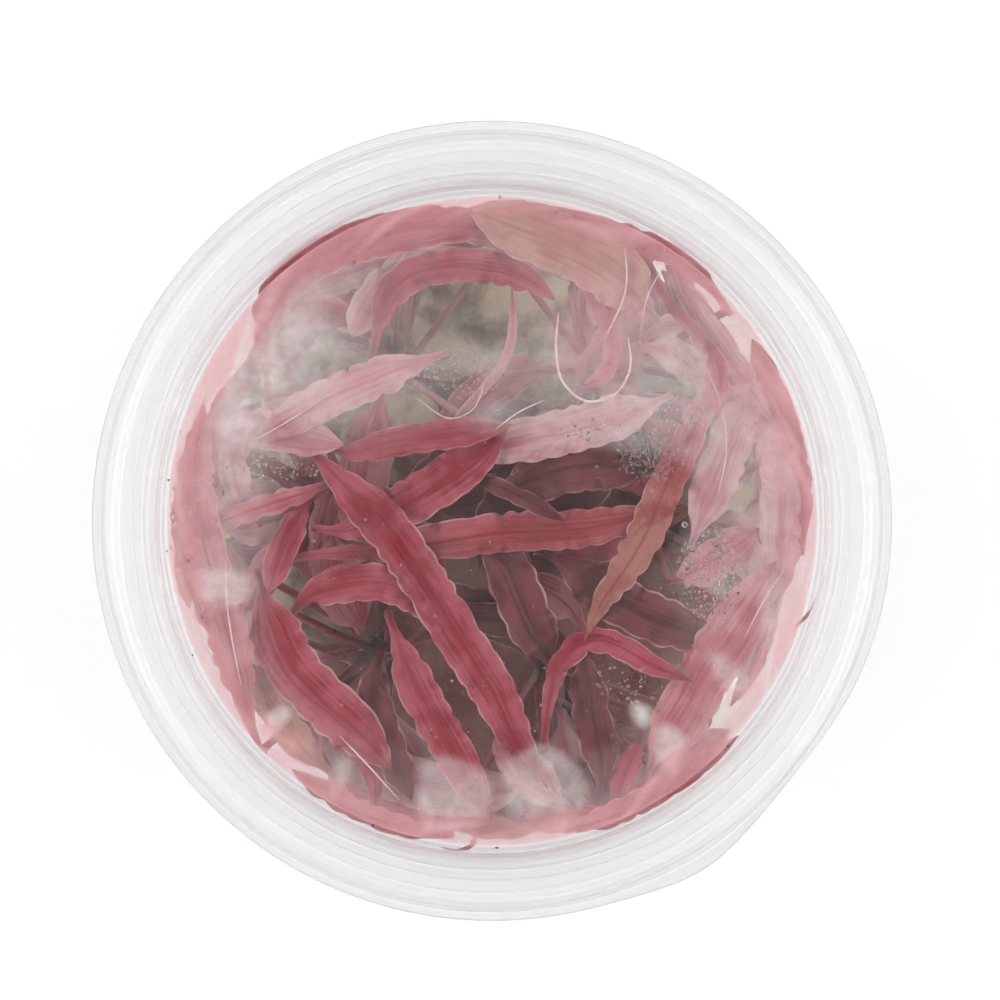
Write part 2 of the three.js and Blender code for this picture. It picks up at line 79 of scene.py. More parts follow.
def newPiece(name, points, faces, materials, slot, stands=(), kinds=None, maps=None,
        values=None):
    # points (n, 3) in millimetres; kinds is the material of each face, maps the place of each
    # point on the leaf, and values the named numbers of each point that a material reads
    mesh = bpy.data.meshes.new(name)
    mesh.from_pydata((points * mm).tolist(), [], faces)
    mesh.polygons.foreach_set("use_smooth", np.full(len(mesh.polygons), True))
    for material in materials:
        mesh.materials.append(material)
    if kinds is not None:
        mesh.polygons.foreach_set("material_index", kinds)
    if maps is not None:
        corner = np.empty(len(mesh.loops), int)
        mesh.loops.foreach_get("vertex_index", corner)
        leafMap = mesh.uv_layers.new(name="leafMap")
        leafMap.data.foreach_set("uv", maps[corner].astype(np.float32).reshape(-1))
    for label, numbers in (values or {}).items():
        mesh.attributes.new(label, "FLOAT", "POINT").data.foreach_set("value", numbers)
    mesh.update()
    piece = bpy.data.objects.new(name, mesh)
    bpy.context.collection.objects.link(piece)
    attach(piece, "root")
    if stands:
        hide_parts(*stands)


def ringQuads(rows, columns):
    # faces of rows of points, each row closed on itself
    r = np.arange(rows - 1)[:, None] * columns
    c = np.arange(columns)[None, :]
    c2 = (c + 1) % columns
    return np.stack([r + c, r + c2, r + columns + c2, r + columns + c], -1).reshape(-1, 4)


def closedSkin(rows, columns):
    # the same as a list, with one face over the first row and one over the last
    ends = [np.arange(columns)[::-1].tolist(),
        ((rows - 1) * columns + np.arange(columns)).tolist()]
    return ringQuads(rows, columns).tolist() + ends


def joined(skins):
    # many meshes' points and faces as one mesh's
    points, faces, first = [], [], 0
    for somePoints, someFaces in skins:
        points.append(somePoints)
        faces += [[corner + first for corner in face] for face in someFaces]
        first += len(somePoints)
    return np.vstack(points), faces


def tube(at, radii, sides):
    # a round section carried along a path that stays nearly level, with both ends closed
    along = unit(np.gradient(at, axis=0))
    side = unit(np.cross(along, [0, 0, 1.0]))
    up = np.cross(side, along)
    turn = roundTurn(sides)
    points = at[:, None] + radii[:, None, None] * (
        side[:, None] * np.cos(turn)[None, :, None] + up[:, None] * np.sin(turn)[None, :, None])
    return points.reshape(-1, 3), closedSkin(len(at), sides)


def roundPath(corners, steps=14):
    # centripetal Catmull-Rom curve through the corners, as a dense run of points: each span is
    # blended from its four nearest corners, with knots spaced by the root of their distance
    p = np.asarray(corners, float)
    p = np.vstack([2 * p[0] - p[1], p, 2 * p[-1] - p[-2]])
    gaps = np.maximum(np.sqrt(np.linalg.norm(np.diff(p, axis=0), axis=1)), 1e-6)
    spans = len(p) - 3
    t = np.linspace(0, 1, steps, endpoint=False)[None, :, None]
    p0, p1, p2, p3 = (p[k:k + spans, None] for k in range(4))
    g0, g1, g2 = (gaps[k:k + spans, None, None] for k in range(3))
    m1 = ((p1 - p0) / g0 - (p2 - p0) / (g0 + g1) + (p2 - p1) / g1) * g1
    m2 = ((p2 - p1) / g1 - (p3 - p1) / (g1 + g2) + (p3 - p2) / g2) * g1
    a = 2 * p1 - 2 * p2 + m1 + m2
    b = -3 * p1 + 3 * p2 - 2 * m1 - m2
    run = ((a * t + b) * t + m1) * t + p1
    return np.vstack([run.reshape(-1, p.shape[1]), p[-2]])


def evenPath(points, count, measured=None):
    # the same path as count + 1 points at equal steps along it, and how far along each lies;
    # its first columns, as many as measured, are its place, and the rest go with it
    steps = np.linalg.norm(np.diff(points[:, :measured], axis=0), axis=1)
    far = np.concatenate([[0], np.cumsum(steps)])
    want = np.linspace(0, far[-1], count + 1)
    columns = [np.interp(want, far, points[:, k]) for k in range(points.shape[1])]
    return np.stack(columns, 1), want


class Value:
    # wraps one output socket, so that shader sums read as Python

    def __init__(self, paint, socket):
        self.paint = paint
        self.socket = socket

    def sum(self, operation, *others):
        return self.paint.node("Math", dict(enumerate(others)), operation=operation)

    def __add__(self, other):
        return self.sum("ADD", self, other)

    def __sub__(self, other):
        return self.sum("SUBTRACT", self, other)

    def __rsub__(self, other):
        return self.sum("SUBTRACT", other, self)

    def __mul__(self, other):
        return self.sum("MULTIPLY", self, other)

    __radd__ = __add__
    __rmul__ = __mul__

    def size(self):
        return self.sum("ABSOLUTE", self)

    def ramp(self, low, high, start=0.0, end=1.0):
        # eased step from start to end as the value goes from low to high
        return self.paint.node("MapRange", {"Value": self, "From Min": low, "From Max": high,
            "To Min": start, "To Max": end}, interpolation_type="SMOOTHSTEP")


class Paint:
    # one material, with a method that adds any node

    def __init__(self, name):
        self.material = bpy.data.materials.new(name)
        self.material.use_nodes = True
        self.tree = self.material.node_tree
        self.tree.nodes.clear()

    def node(self, kind, values=None, out=0, **settings):
        made = self.tree.nodes.new("ShaderNode" + kind)
        for key, setting in settings.items():
            setattr(made, key, setting)
        for key, value in (values or {}).items():
            if isinstance(value, Value):
                self.tree.links.new(value.socket, made.inputs[key])
            elif isinstance(value, tuple) and len(value) == 3 and made.inputs[key].type == "RGBA":
                made.inputs[key].default_value = (*value, 1)
            else:
                made.inputs[key].default_value = value
        return Value(self, made.outputs[out]) if made.outputs else None

    def mix(self, share, one, other):
        # colours one and other, mixed by share
        return self.node("Mix", {0: share, 6: one, 7: other}, out=2, data_type="RGBA")

    def blend(self, share, one, other):
        # shaders one and other, mixed by share
        return self.node("MixShader", {0: share, 1: one, 2: other})

    def plain(self, kind, colour):
        # a shader of one even colour
        return self.node("Bsdf" + kind, {"Color": colour})

    def value(self, label):
        # the number of that name that the mesh carries
        return self.node("Attribute", out="Fac", attribute_name=label)

    def moved(self, operation, place, by):
        return self.node("VectorMath", {0: place, 1: by}, operation=operation)

    def radius(self, place):
        # distance from the upright axis, in metres
        flat = self.moved("MULTIPLY", place, (1, 1, 0))
        return self.node("VectorMath", {0: flat}, out="Value", operation="LENGTH")

    def place(self):
        # where on the object, in metres
        return self.node("TexCoord", out="Object")

    def noise(self, place, scale, detail=3.0, roughness=0.55):
        return self.node("TexNoise", {
            "Vector": place, "Scale": scale, "Detail": detail, "Roughness": roughness})

    def bump(self, height, distance, strength=1.0):
        return self.node("Bump", {"Height": height, "Distance": distance, "Strength": strength})

    def finish(self, shader):
        self.node("OutputMaterial", {"Surface": shader})
        return self.material

    def finishClear(self, shader, shade):
        # light for shadows passes straight through, tinted by shade
        shadow = self.node("LightPath", out="Is Shadow Ray")
        return self.finish(self.blend(shadow, shader, self.plain("Transparent", shade)))


# Plastic, gel and the other finishes

def clearPlastic(name, look):
    # see-through by transmission and index, with painted shade along thin rings where the
    # moulding turns: darker rings that stand in for the dark edges seen there by refraction;
    # outside the window it is a little milky. Where the mesh carries a cover, drops too fine to
    # see whiten it, unevenly in small clouds; a veil is pale tissue stuck to it, and a painted
    # glare is an even bright patch, a painted reflection
    paint = Paint(name)
    place = paint.place()
    colour = look["colour"]
    away = paint.radius(place)
    # painted shade: each ring darkens the plastic's colour towards its grey tone
    for radius, halfWidth, strength in look.get("paintedShadeLines", []):
        paintedShadeLine = (away - radius * mm).size().ramp(halfWidth * mm, 0.0, 0.0, strength)
        colour = paint.mix(paintedShadeLine, colour, look["paintedShadeLine"])
    body = paint.node("BsdfPrincipled", {"Base Color": colour, "Roughness": look["gloss"],
        "IOR": look["index"], "Transmission Weight": 1.0})
    milk = paint.plain("Translucent", look["milkColour"])
    share = away.ramp(look["milkStart"] * mm, look["milkFull"] * mm, 0.0, look["milk"])
    if "milkTop" in look:
        onBead = away.ramp(look["topEnds"] * mm, look["topFull"] * mm, 0.0, look["milkTop"])
        milk = paint.blend(onBead, milk, paint.plain("Diffuse", look["milkColour"]))
    if "milkLow" in look:
        height = paint.node("SeparateXYZ", {0: place}, out="Z")
        share = share * height.ramp(look["clearBelow"] * mm, look["milkyAbove"] * mm,
            look["milkLow"], 1.0)
    body = paint.blend(share, body, milk)
    if "fog" in look:
        cloud = paint.noise(place, look["cloudScale"], 2.5, 0.7).ramp(0.3, 0.7, *look["clouds"])
        veil = paint.value("veil")
        white = paint.blend(veil * look["tissueShare"], paint.plain("Diffuse", look["fog"]),
            paint.plain("Diffuse", look["tissue"]))
        # the even bright patches are painted reflection, mixed in as white
        cover = cloud * (paint.value("cover") + paint.value("paintedGlare") * look["paintedGlare"]) + (
            veil * look["veil"])
        body = paint.blend(cover, body, white)
    return paint.finishClear(body, look["shade"])


cupLook = dict(colour=(0.992, 0.995, 0.995), shade=(0.98, 0.98, 0.98), index=1.46, gloss=0.0,
    milk=0.38, milkColour=(0.96, 0.96, 0.96), milkStart=36, milkFull=38)
standingLook = dict(cupLook, milkLow=0.3, clearBelow=38, milkyAbove=50)
lidLook = dict(cupLook, colour=(0.99, 0.993, 0.993), shade=(0.975, 0.975, 0.975), milk=0.36,
    milkStart=41.1, milkFull=41.8, milkTop=0.28, topFull=46, topEnds=47.4,
    paintedShadeLine=(0.7, 0.7, 0.71), paintedShadeLines=[(41.05, 0.62, 1), (42.2, 0.3, 1), (43, 0.25, 0.8),
        (44.4, 0.45, 0.5), (47.3, 1.4, 0.2), (48.05, 0.2, 0.4), (49.9, 0.2, 0.4)])
foggedLook = dict(lidLook, fog=(0.93, 0.87, 0.87), tissue=(0.80, 0.48, 0.50), tissueShare=0.7,
    veil=0.13, paintedGlare=0.3, cloudScale=260, clouds=(0.72, 1.28))
lidPlastic = clearPlastic("clear_lid_plastic", lidLook)
foggedPlastic = clearPlastic("fogged_lid_plastic", foggedLook)
cupPlastic = clearPlastic("clear_cup_plastic", standingLook)

leafColours = {  # body, vein and paler flank of each kind of leaf
    "rose": ((0.40, 0.029, 0.054), (0.27, 0.011, 0.026), (0.56, 0.11, 0.155)),
    "pink": ((0.54, 0.125, 0.155), (0.40, 0.050, 0.075), (0.68, 0.29, 0.31)),
    "pale": ((0.60, 0.255, 0.285), (0.50, 0.145, 0.185), (0.72, 0.46, 0.465)),
    "tan": ((0.53, 0.20, 0.165), (0.42, 0.12, 0.105), (0.62, 0.33, 0.27)),
    "wine": ((0.14, 0.016, 0.023), (0.080, 0.008, 0.012), (0.25, 0.048, 0.062)),
}
leafLook = dict(
    margin=(0.72, 0.43, 0.40), marginStart=0.88, marginFull=0.97, tinge=(0.52, 0.235, 0.18),
    ribHalf=0.14, ribShare=0.6, overlapShadeShare=0.7, flankShare=0.95, bodyGlow=0.75, through=0.35,
    streakMap=(9.0, 0.5, 1), streakScale=1.6, patchScale=150, veins=75.0, veinDepth=0.05)


def leafFinish(kind):
    # streaks run along the blade from the leaf's own map: u across from 0 to 1, v along in
    # centimetres; the flanks and thin margins are pale and the middle rib is redder. Where the leaf
    # lies close on others it is darker red by painted shade; some light passes through the blade
    body, vein, flank = leafColours[kind]
    look = leafLook
    paint = Paint(f"leaf_{kind}_tissue")
    across = paint.node("UVMap", uv_map="leafMap")
    u = paint.node("SeparateXYZ", {0: across})
    edge = ((u * 2) - 1).size()
    streaks = paint.node("Mapping", {"Vector": across, "Scale": look["streakMap"]})
    streak = paint.noise(streaks, look["streakScale"], 2, 0.6)
    mottle = paint.noise(paint.place(), look["patchScale"], 2.5, 0.62)
    colour = paint.mix(streak.ramp(0.36, 0.6), vein, body)
    pale = mottle + edge * 0.22 + streak * 0.35
    colour = paint.mix(pale.ramp(0.62, 0.92, 0.0, look["flankShare"]), colour, flank)
    colour = paint.mix(paint.value("tinged"), colour, look["tinge"])
    colour = paint.mix(edge.ramp(look["ribHalf"], 0.0, 0.0, look["ribShare"]), colour, vein)
    # painted shade: towards the vein colour where the leaf lies close on the one below
    colour = paint.mix(paint.value("layered") * look["overlapShadeShare"], colour, vein)
    rim = edge.ramp(look["marginStart"], look["marginFull"]) * mottle.ramp(0.38, 0.6, 0.12, 0.9)
    colour = paint.mix(rim, colour, look["margin"])
    veins = u.sum("SINE", u * look["veins"])
    height = veins * 0.25 - edge.ramp(0.10, 0.0, 0.0, 0.5)
    blade = paint.node("BsdfPrincipled", {
        "Base Color": colour, "Roughness": mottle.ramp(0.3, 0.7, 0.26, 0.48), "IOR": 1.4,
        "Normal": paint.bump(height, look["veinDepth"] * mm, 0.9)})
    lit = tuple(look["bodyGlow"] * one + (1 - look["bodyGlow"]) * other
        for one, other in zip(body, flank))
    return paint.finish(paint.blend(look["through"], blade, paint.plain("Translucent", lit)))


leafPaints = {kind: leafFinish(kind) for kind in leafColours}


def softFinish(name, light, dark, scale, roughness, depth, paintedShadePool=None):
    # an even natural stuff with clouds of two tones and a fine grain; the optional third tone is
    # painted shade, with the middle and radius of the place that it darkens
    paint = Paint(name)
    place = paint.place()
    cloud = paint.noise(place, scale, 5)
    grain = paint.noise(place, scale * 9, 3)
    colour = paint.mix(cloud.ramp(0.35, 0.65), dark, light)
    if paintedShadePool is not None:
        # painted shade: the colour fades to the dark third tone towards that middle
        tone, middle, radius = paintedShadePool
        moved = paint.moved("SUBTRACT", place, (middle[0] * mm, middle[1] * mm, 0))
        share = paint.radius(moved).ramp(0.7 * radius * mm, 1.3 * radius * mm, 0.85, 0.0)
        colour = paint.mix(share, colour, tone)
    return paint.finish(paint.node("BsdfPrincipled", {
        "Base Color": colour, "Roughness": grain.ramp(0.3, 0.7, roughness * 0.7, roughness),
        "IOR": 1.36, "Normal": paint.bump(cloud * 0.6 + grain * 0.4, depth * mm)}))


# the gel's dark maroon third tone round the cup's middle is painted shade, pink as if from the
# leaves above
gelPaint = softFinish("cloudy_gel", (0.74, 0.62, 0.45), (0.17, 0.12, 0.08), 150, 0.3, 0.5,
    ((0.24, 0.06, 0.062), (3, -13), 26))
crownPaint = softFinish("crown_tissue", (0.45, 0.33, 0.2), (0.24, 0.13, 0.09), 300, 0.6, 0.3)
rootPaint = softFinish("root_tissue", (0.72, 0.68, 0.58), (0.5, 0.42, 0.33), 400, 0.5, 0.1)
speckPaint = softFinish("dark_speck", (0.03, 0.025, 0.02), (0.01, 0.01, 0.01), 900, 0.7, 0.05)
print("finishes made")


# Cup and lid, turned about the upright axis

cupSize = dict(footRadius=37, footWidth=3.5, footRecess=0.8, floorRadius=37.4, floorTop=1.6,
    floorRise=2, topRadius=42.9, neckBottom=50.4, lipBottom=55.6, lipRadius=46.2, wall=0.8,
    rimTop=57.7, rounding=0.4, steps=192)
lidSize = dict(radius=50, windowRadius=40.8, underside=52, beadTop=59, plugRadius=42.4,
    plugWall=0.7, skirtRadius=47.9, flangeTop=50.6, wall=0.8, rounding=0.5, steps=440,
    beadLines=(45.9, 44.4, 43.1), flangeLine=48.9, lineHalf=0.14, lineDepth=0.22, tabAngle=-59,
    tabSpread=9, tabReach=1, shavedAngle=-38, shavedSpread=12, shavedDepth=0.7)


def eased(profile, radius, steps=4):
    # the profile with every corner rounded: a short quadratic curve that starts and ends
    # radius away from the corner, or at a third of a shorter side
    p = np.asarray(profile, float)
    before, here, after = p[:-2], p[1:-1], p[2:]
    back = before - here
    onward = after - here
    lengthBack = np.linalg.norm(back, axis=1, keepdims=True)
    lengthOn = np.linalg.norm(onward, axis=1, keepdims=True)
    start = here + back / lengthBack * np.minimum(radius, lengthBack / 3)
    end = here + onward / lengthOn * np.minimum(radius, lengthOn / 3)
    t = np.linspace(0, 1, steps)[None, :, None]
    curve = (1 - t) ** 2 * start[:, None] + 2 * t * (1 - t) * here[:, None] + t ** 2 * end[:, None]
    return np.vstack([p[:1], curve.reshape(-1, 2), p[-1:]])


def turnedShape(profile, steps, centre=(0, 0), grow=None):
    # profile of (radius, height) carried round the upright through centre; both ends lie on it,
    # where the ring of points closes to one pole
    inner = profile[1:-1]
    angle = roundTurn(steps)
    r = np.repeat(inner[:, 0][:, None], steps, 1)
    if grow is not None:
        r = r + grow(angle[None, :], inner[:, 0][:, None])
    z = np.repeat(inner[:, 1][:, None], steps, 1)
    points = np.stack([r * np.cos(angle), r * np.sin(angle), z], -1).reshape(-1, 3)
    poles = np.array([[0, 0, profile[0, 1]], [0, 0, profile[-1, 1]]])
    points = np.vstack([points, poles]) + [*centre, 0]
    first = len(points) - 2
    ring = np.arange(steps)
    onward = np.roll(ring, -1)
    last = (len(inner) - 1) * steps
    capA = np.stack([np.full(steps, first), onward, ring], 1)
    capB = np.stack([np.full(steps, first + 1), last + ring, last + onward], 1)
    return points, ringQuads(len(inner), steps).tolist() + capA.tolist() + capB.tolist()


def cupProfile(s):
    # out under the foot, up the wall and over the lip, then down the inside to the floor
    foot, top, wall, lip = s["footRadius"], s["topRadius"], s["wall"], s["lipRadius"]
    return eased([
        (0, s["footRecess"]), (foot - s["footWidth"], s["footRecess"]),
        (foot - s["footWidth"] + 0.4, 0), (foot - 0.2, 0), (foot + 1, 1),
        (top + wall, s["neckBottom"]), (top + wall, s["lipBottom"]),
        (lip - 0.2, s["lipBottom"] + 0.3), (lip, s["rimTop"] - 0.4), (lip - 0.4, s["rimTop"]),
        (top + 0.4, s["rimTop"]), (top, s["rimTop"] - 0.5), (top, s["neckBottom"] + 0.5),
        (s["floorRadius"], s["floorTop"] + s["floorRise"]),
        (s["floorRadius"] - 1.6, s["floorTop"]), (0, s["floorTop"])], s["rounding"])


def groove(radius, height):
    # a fine moulded line: down and up again
    half, depth = lidSize["lineHalf"], lidSize["lineDepth"]
    return [(radius + half, height), (radius, height - depth), (radius - half, height)]


def lidProfile(s):
    # out under the window, up inside the bead, down the skirt and round the flange, then back
    # over the outside to the window's top
    under, top, skirt, flange = s["underside"], s["beadTop"], s["skirtRadius"], s["flangeTop"]
    window, wall, plug = s["windowRadius"], s["wall"], s["plugRadius"]
    onBead = [corner for radius in s["beadLines"] for corner in groove(radius, top)]
    return eased([
        (0, under), (window + 0.5, under), (plug - 0.4, under + 0.7), (plug, top - wall - 0.8),
        (plug + 0.5, top - wall - 0.2), (skirt - wall - 0.5, top - wall - 0.2),
        (skirt - wall - 0.1, top - wall - 0.8), (skirt - wall + 0.1, flange - 0.2),
        (s["radius"], flange - wall), (s["radius"], flange - 0.2),
        *groove(s["flangeLine"], flange + 0.1), (skirt + 0.5, flange + 0.3), (skirt, top - 1),
        (skirt - 1, top), *onBead, (plug + 0.2, top), (plug - s["plugWall"], top - 0.9),
        (plug - s["plugWall"] - 0.4, under + wall + 0.6), (window - 0.3, under + wall),
        (0, under + wall)], s["rounding"])


def flangeGrowth(angle, radius):
    # the flange swells into a thumb tab on one side and is shaved off beside it
    s = lidSize
    turn = (angle + math.pi) % (2 * math.pi) - math.pi
    bump = np.exp(-((turn - math.radians(s["tabAngle"])) / math.radians(s["tabSpread"])) ** 2)
    dip = np.exp(-((turn - math.radians(s["shavedAngle"])) / math.radians(s["shavedSpread"])) ** 2)
    inner = s["skirtRadius"] + 0.6
    share = np.clip((radius - inner) / (s["radius"] - inner), 0, 1)
    return share * (s["tabReach"] * bump - s["shavedDepth"] * dip)


newPiece("cup_clear", *turnedShape(cupProfile(cupSize), cupSize["steps"]), [cupPlastic],
    "clear_plastic", ["cup"])
print("cup turned")


# Gel

gelSize = dict(top=14, floorRadius=35.7, lowRadius=37.1, lowHeight=4, radius=38.2, foot=1.9,
    meniscus=0.7, meniscusWidth=3, rounding=0.6, steps=96)


def gelProfile(s):
    # a slab whose top climbs a little where it meets the wall
    return eased([
        (0, s["foot"]), (s["floorRadius"], s["foot"]), (s["lowRadius"], s["lowHeight"]),
        (s["radius"], s["top"] + s["meniscus"]), (s["radius"] - 1.2, s["top"] + 0.15),
        (s["radius"] - s["meniscusWidth"], s["top"]), (0, s["top"])], s["rounding"])


newPiece("gel_slab", *turnedShape(gelProfile(gelSize), gelSize["steps"]), [gelPaint], "gel",
    ["gel"])
print("gel made")


# Leaves

# Each leaf from the topmost down: the crown it grows from, its full width, its colour, the
# share of its length over which it widens, and the points that it runs through in plan, from
# where its stalk comes up to its tip.
leafRows = {
    "tan_broad": ("northeast", 7.6, "tan", 0.15, [(20.5, 25.5), (18.5, 27.5), (15, 31), (10, 34),
        (3.5, 36.5), (-3, 39)]),
    "north_rim": ("northeast", 3.6, "pink", 0.2, [(29.5, 26.5), (26, 31), (22, 34), (16, 36),
        (8.5, 37.5), (1, 39.5)]),
    "north_arc": ("northwest", 5.8, "rose", 0.3, [(-28, 16), (-28.5, 19.5), (-28, 25.5),
        (-25.5, 30.5), (-20, 34), (-12.5, 36), (-4.5, 37), (2.5, 35.5)]),
    "tan_pointed": ("northeast", 4.8, "rose", 0.7, [(18, 35.5), (19.5, 32.5), (22, 27.5), (25, 24),
        (27.5, 20.5), (28.5, 17), (26, 13.5), (24, 9), (21.5, 4), (19, -2), (16, -7),
        (13.5, -10.5), (11.5, -15)]),
    "northeast_rim": ("northeast", 3.6, "pale", 0.2, [(21, 34.8), (23, 31.5), (25, 27),
        (29.5, 20.5), (35, 12.5)]),
    "streaky_pale": ("northwest", 5, "pale", 0.25, [(-6, 21), (-8.5, 20), (-14, 18), (-21, 15),
        (-26.5, 12), (-30, 10)]),
    "arch": ("northwest", 4.4, "rose", 0.25, [(-15, 21), (-14, 25), (-12, 29.5), (-5.5, 32),
        (3, 31), (8, 27.5)]),
    "pale_drop": ("northwest", 4.4, "pale", 0.3, [(-11, 33), (-13, 30.5), (-15.5, 27),
        (-17.5, 23)]),
    "left_rim": ("southwest", 5.2, "pink", 0.25, [(-29, -29), (-30, -26), (-31.5, -20), (-34, -10),
        (-36, -2.5), (-37, 5), (-36, 15)]),
    "mauve": ("west", 4.8, "pale", 0.3, [(-36.5, 11.5), (-34, 11.5), (-29.5, 11.5), (-24, 10.5),
        (-18.5, 9.5)]),
    "long_diagonal": ("west", 5.8, "rose", 0.2, [(-24.5, 10.5), (-22, 8), (-18, 4), (-13, -1),
        (-8.5, -7.5), (-4.5, -14), (0, -21), (3.5, -28), (7, -33.5)]),
    "upper_red": ("west", 3.8, "rose", 0.25, [(-21, 9.5), (-18.5, 8.5), (-11.5, 10), (-4, 11),
        (2.5, 12)]),
    "middle_red": ("west", 5.8, "rose", 0.25, [(-22, -1), (-19.5, -1.5), (-14, 0.5), (-7.5, 4),
        (-2, 8), (2, 11.5)]),
    "small_red": ("west", 2.2, "wine", 0.3, [(-4, 6.5), (-2, 5.5), (3.5, 3), (9, 0)]),
    "salmon": ("west", 2.8, "pink", 0.3, [(-20, 5), (-22, 4), (-28, 2), (-33.5, 0), (-38, -2.5)]),
    "short_left": ("west", 3.6, "rose", 0.3, [(-23, 3), (-24, 1), (-26, -3), (-28, -9)]),
    "long_level": ("west", 5, "rose", 0.35, [(-26, -5), (-24.5, -4.5), (-18.5, -4), (-9, -3),
        (1, -1.5), (11, -1), (18.5, 0.5), (24, 2)]),
    "wavy_southwest": ("southwest", 6.8, "rose", 0.2, [(-29.5, -7), (-28.5, -10), (-25.5, -17.5),
        (-21.5, -22), (-16.5, -26.5), (-12.5, -31)]),
    "southwest_arch": ("southwest", 4.8, "rose", 0.25, [(-25.5, -12), (-24, -10), (-19, -8),
        (-12.5, -8), (-8, -10.5), (-5, -14)]),
    "south_red": ("southwest", 5, "rose", 0.25, [(-13, -12), (-12, -14), (-11, -17), (-8.5, -22.5),
        (-5, -28.5), (-2, -34), (0, -37.5)]),
    "south_dark": ("southwest", 4.4, "wine", 0.25, [(-14, -17), (-15, -20.5), (-14, -25),
        (-12, -30.5), (-10, -35)]),
    "folded": ("south", 3.2, "rose", 0.45, [(6.5, -28.5), (7, -23), (8.5, -18), (12, -15),
        (15.5, -15.5), (20, -18), (25, -20)]),
    "dusty_southeast": ("south", 7, "pink", 0.2, [(19.5, -32), (20.5, -29), (24, -24), (27, -18.5),
        (31, -12.5), (35.5, -5)]),
    "south_wine": ("south", 4.8, "wine", 0.25, [(13.5, -34), (14, -32), (13, -27), (12, -21),
        (11.5, -16.5)]),
    "south_rim": ("south", 3.2, "pink", 0.25, [(-5.5, -39.5), (-9, -39), (-15, -37), (-20, -34.5),
        (-25, -31)]),
    "southeast_rim": ("south", 3.6, "pink", 0.25, [(7, -38), (11, -38), (16, -36.5), (24, -32),
        (31, -27)]),
    "east_band": ("east", 5, "pale", 0.25, [(35.5, -11.5), (36, -7.5), (36, 0), (36, 7.5),
        (35.5, 14.5)]),
    "east_rim": ("east", 3.2, "pink", 0.25, [(39, -3.5), (39, 0), (38.5, 5), (37, 12.5),
        (34, 21)]),
    "curled": ("northeast", 2.4, "rose", 0.3, [(11.5, 29.5), (13, 27), (15, 23), (15, 19.5),
        (11, 16.5)]),
    "tan_slip": ("northeast", 2, "tan", 0.3, [(11.5, 20.5), (13.5, 23), (16.5, 27.5), (17.5, 34)]),
    "pale_east": ("northeast", 5.8, "pale", 0.2, [(22, 15.5), (20, 14.5), (14, 12.5), (8.5, 11),
        (1.5, 9.5), (-3, 8)]),
    "pale_strip": ("northwest", 1.2, "pale", 0.3, [(-4, 13.5), (-2.5, 15), (1, 19), (2.5, 23),
        (2.5, 29)]),
    "deep_south": ("south", 6.2, "wine", 0.25, [(8, -19), (6, -15), (3.5, -10), (2, -6),
        (-1.5, -3)]),
    "deep_east": ("east", 6.2, "wine", 0.25, [(6.5, -4), (10, -6), (15, -9.5), (21, -12.5),
        (29, -15)]),
    "deep_middle": ("east", 6.4, "wine", 0.25, [(21, 6.5), (18.5, 6.5), (12, 7), (6, 5.5),
        (1, 3.5)]),
    "east_upright": ("east", 5.6, "pale", 0.25, [(25, -3), (26, 0), (28, 5), (30.5, 11.5),
        (32.5, 17)]),
    "northeast_deep": ("northeast", 4.4, "pale", 0.25, [(18.5, 22), (21.5, 21.5), (26, 18.5),
        (30.5, 15)]),
    "east_low": ("east", 5, "pink", 0.25, [(22.5, -7.5), (25, -6.5), (28.5, -4.5), (33.5, -1)]),
    "deep_southwest": ("southwest", 4.2, "tan", 0.25, [(-20.5, -31.5), (-24, -28), (-27.5, -23),
        (-30, -18)]),
    "southwest_small": ("southwest", 2.6, "rose", 0.3, [(-15, -36), (-14.5, -33), (-16, -30),
        (-18.5, -28)]),
    "deep_west": ("west", 3.8, "pale", 0.3, [(-29.5, 0), (-31.5, 3), (-32.5, 7.5), (-31, 12.5)]),
    "south_pale": ("south", 5.4, "pale", 0.25, [(9, -35.5), (6.5, -33.5), (3.5, -30), (1, -25.5)]),
    "southeast_small": ("south", 3, "rose", 0.3, [(15.5, -37), (16, -34), (17, -31),
        (18.5, -27.5)]),
    "young_west": ("west", 4.4, "pink", 0.3, [(-25, -2), (-29, -6), (-32, -12)]),
    "young_northwest": ("northwest", 4.2, "rose", 0.3, [(-17, 25), (-22, 27), (-27, 25.5)]),
    "young_northeast": ("northeast", 4.4, "pink", 0.3, [(19, 13.5), (24, 10), (30, 8)]),
    "young_east": ("east", 4.6, "rose", 0.3, [(26, -8), (29, -13), (33, -18)]),
    "young_south": ("south", 4.4, "pink", 0.3, [(12, -14), (8, -9.5), (2, -8)]),
    "young_southwest": ("southwest", 4.4, "rose", 0.3, [(-20, -22), (-26, -22), (-31, -19)]),
}

leaves = {name: dict(zip(("crown", "width", "colour", "swell", "run"), row))
    for name, row in leafRows.items()}
leaves["tan_pointed"].update(tinge=(0.5, 0.75, 0.85), slot="tan")  # turns tan along its length
leaves["long_level"]["tinge"] = (0, 0.1, 0.15)  # faintly, all along
youngSinks = {  # a young leaf stays lower, by its sink at each end
    "west": (12, 20), "northwest": (10, 18), "northeast": (12, 20), "east": (12, 22),
    "south": (12, 20), "southwest": (12, 20),
}
for name, sink in youngSinks.items():
    leaves[f"young_{name}"]["sink"] = sink

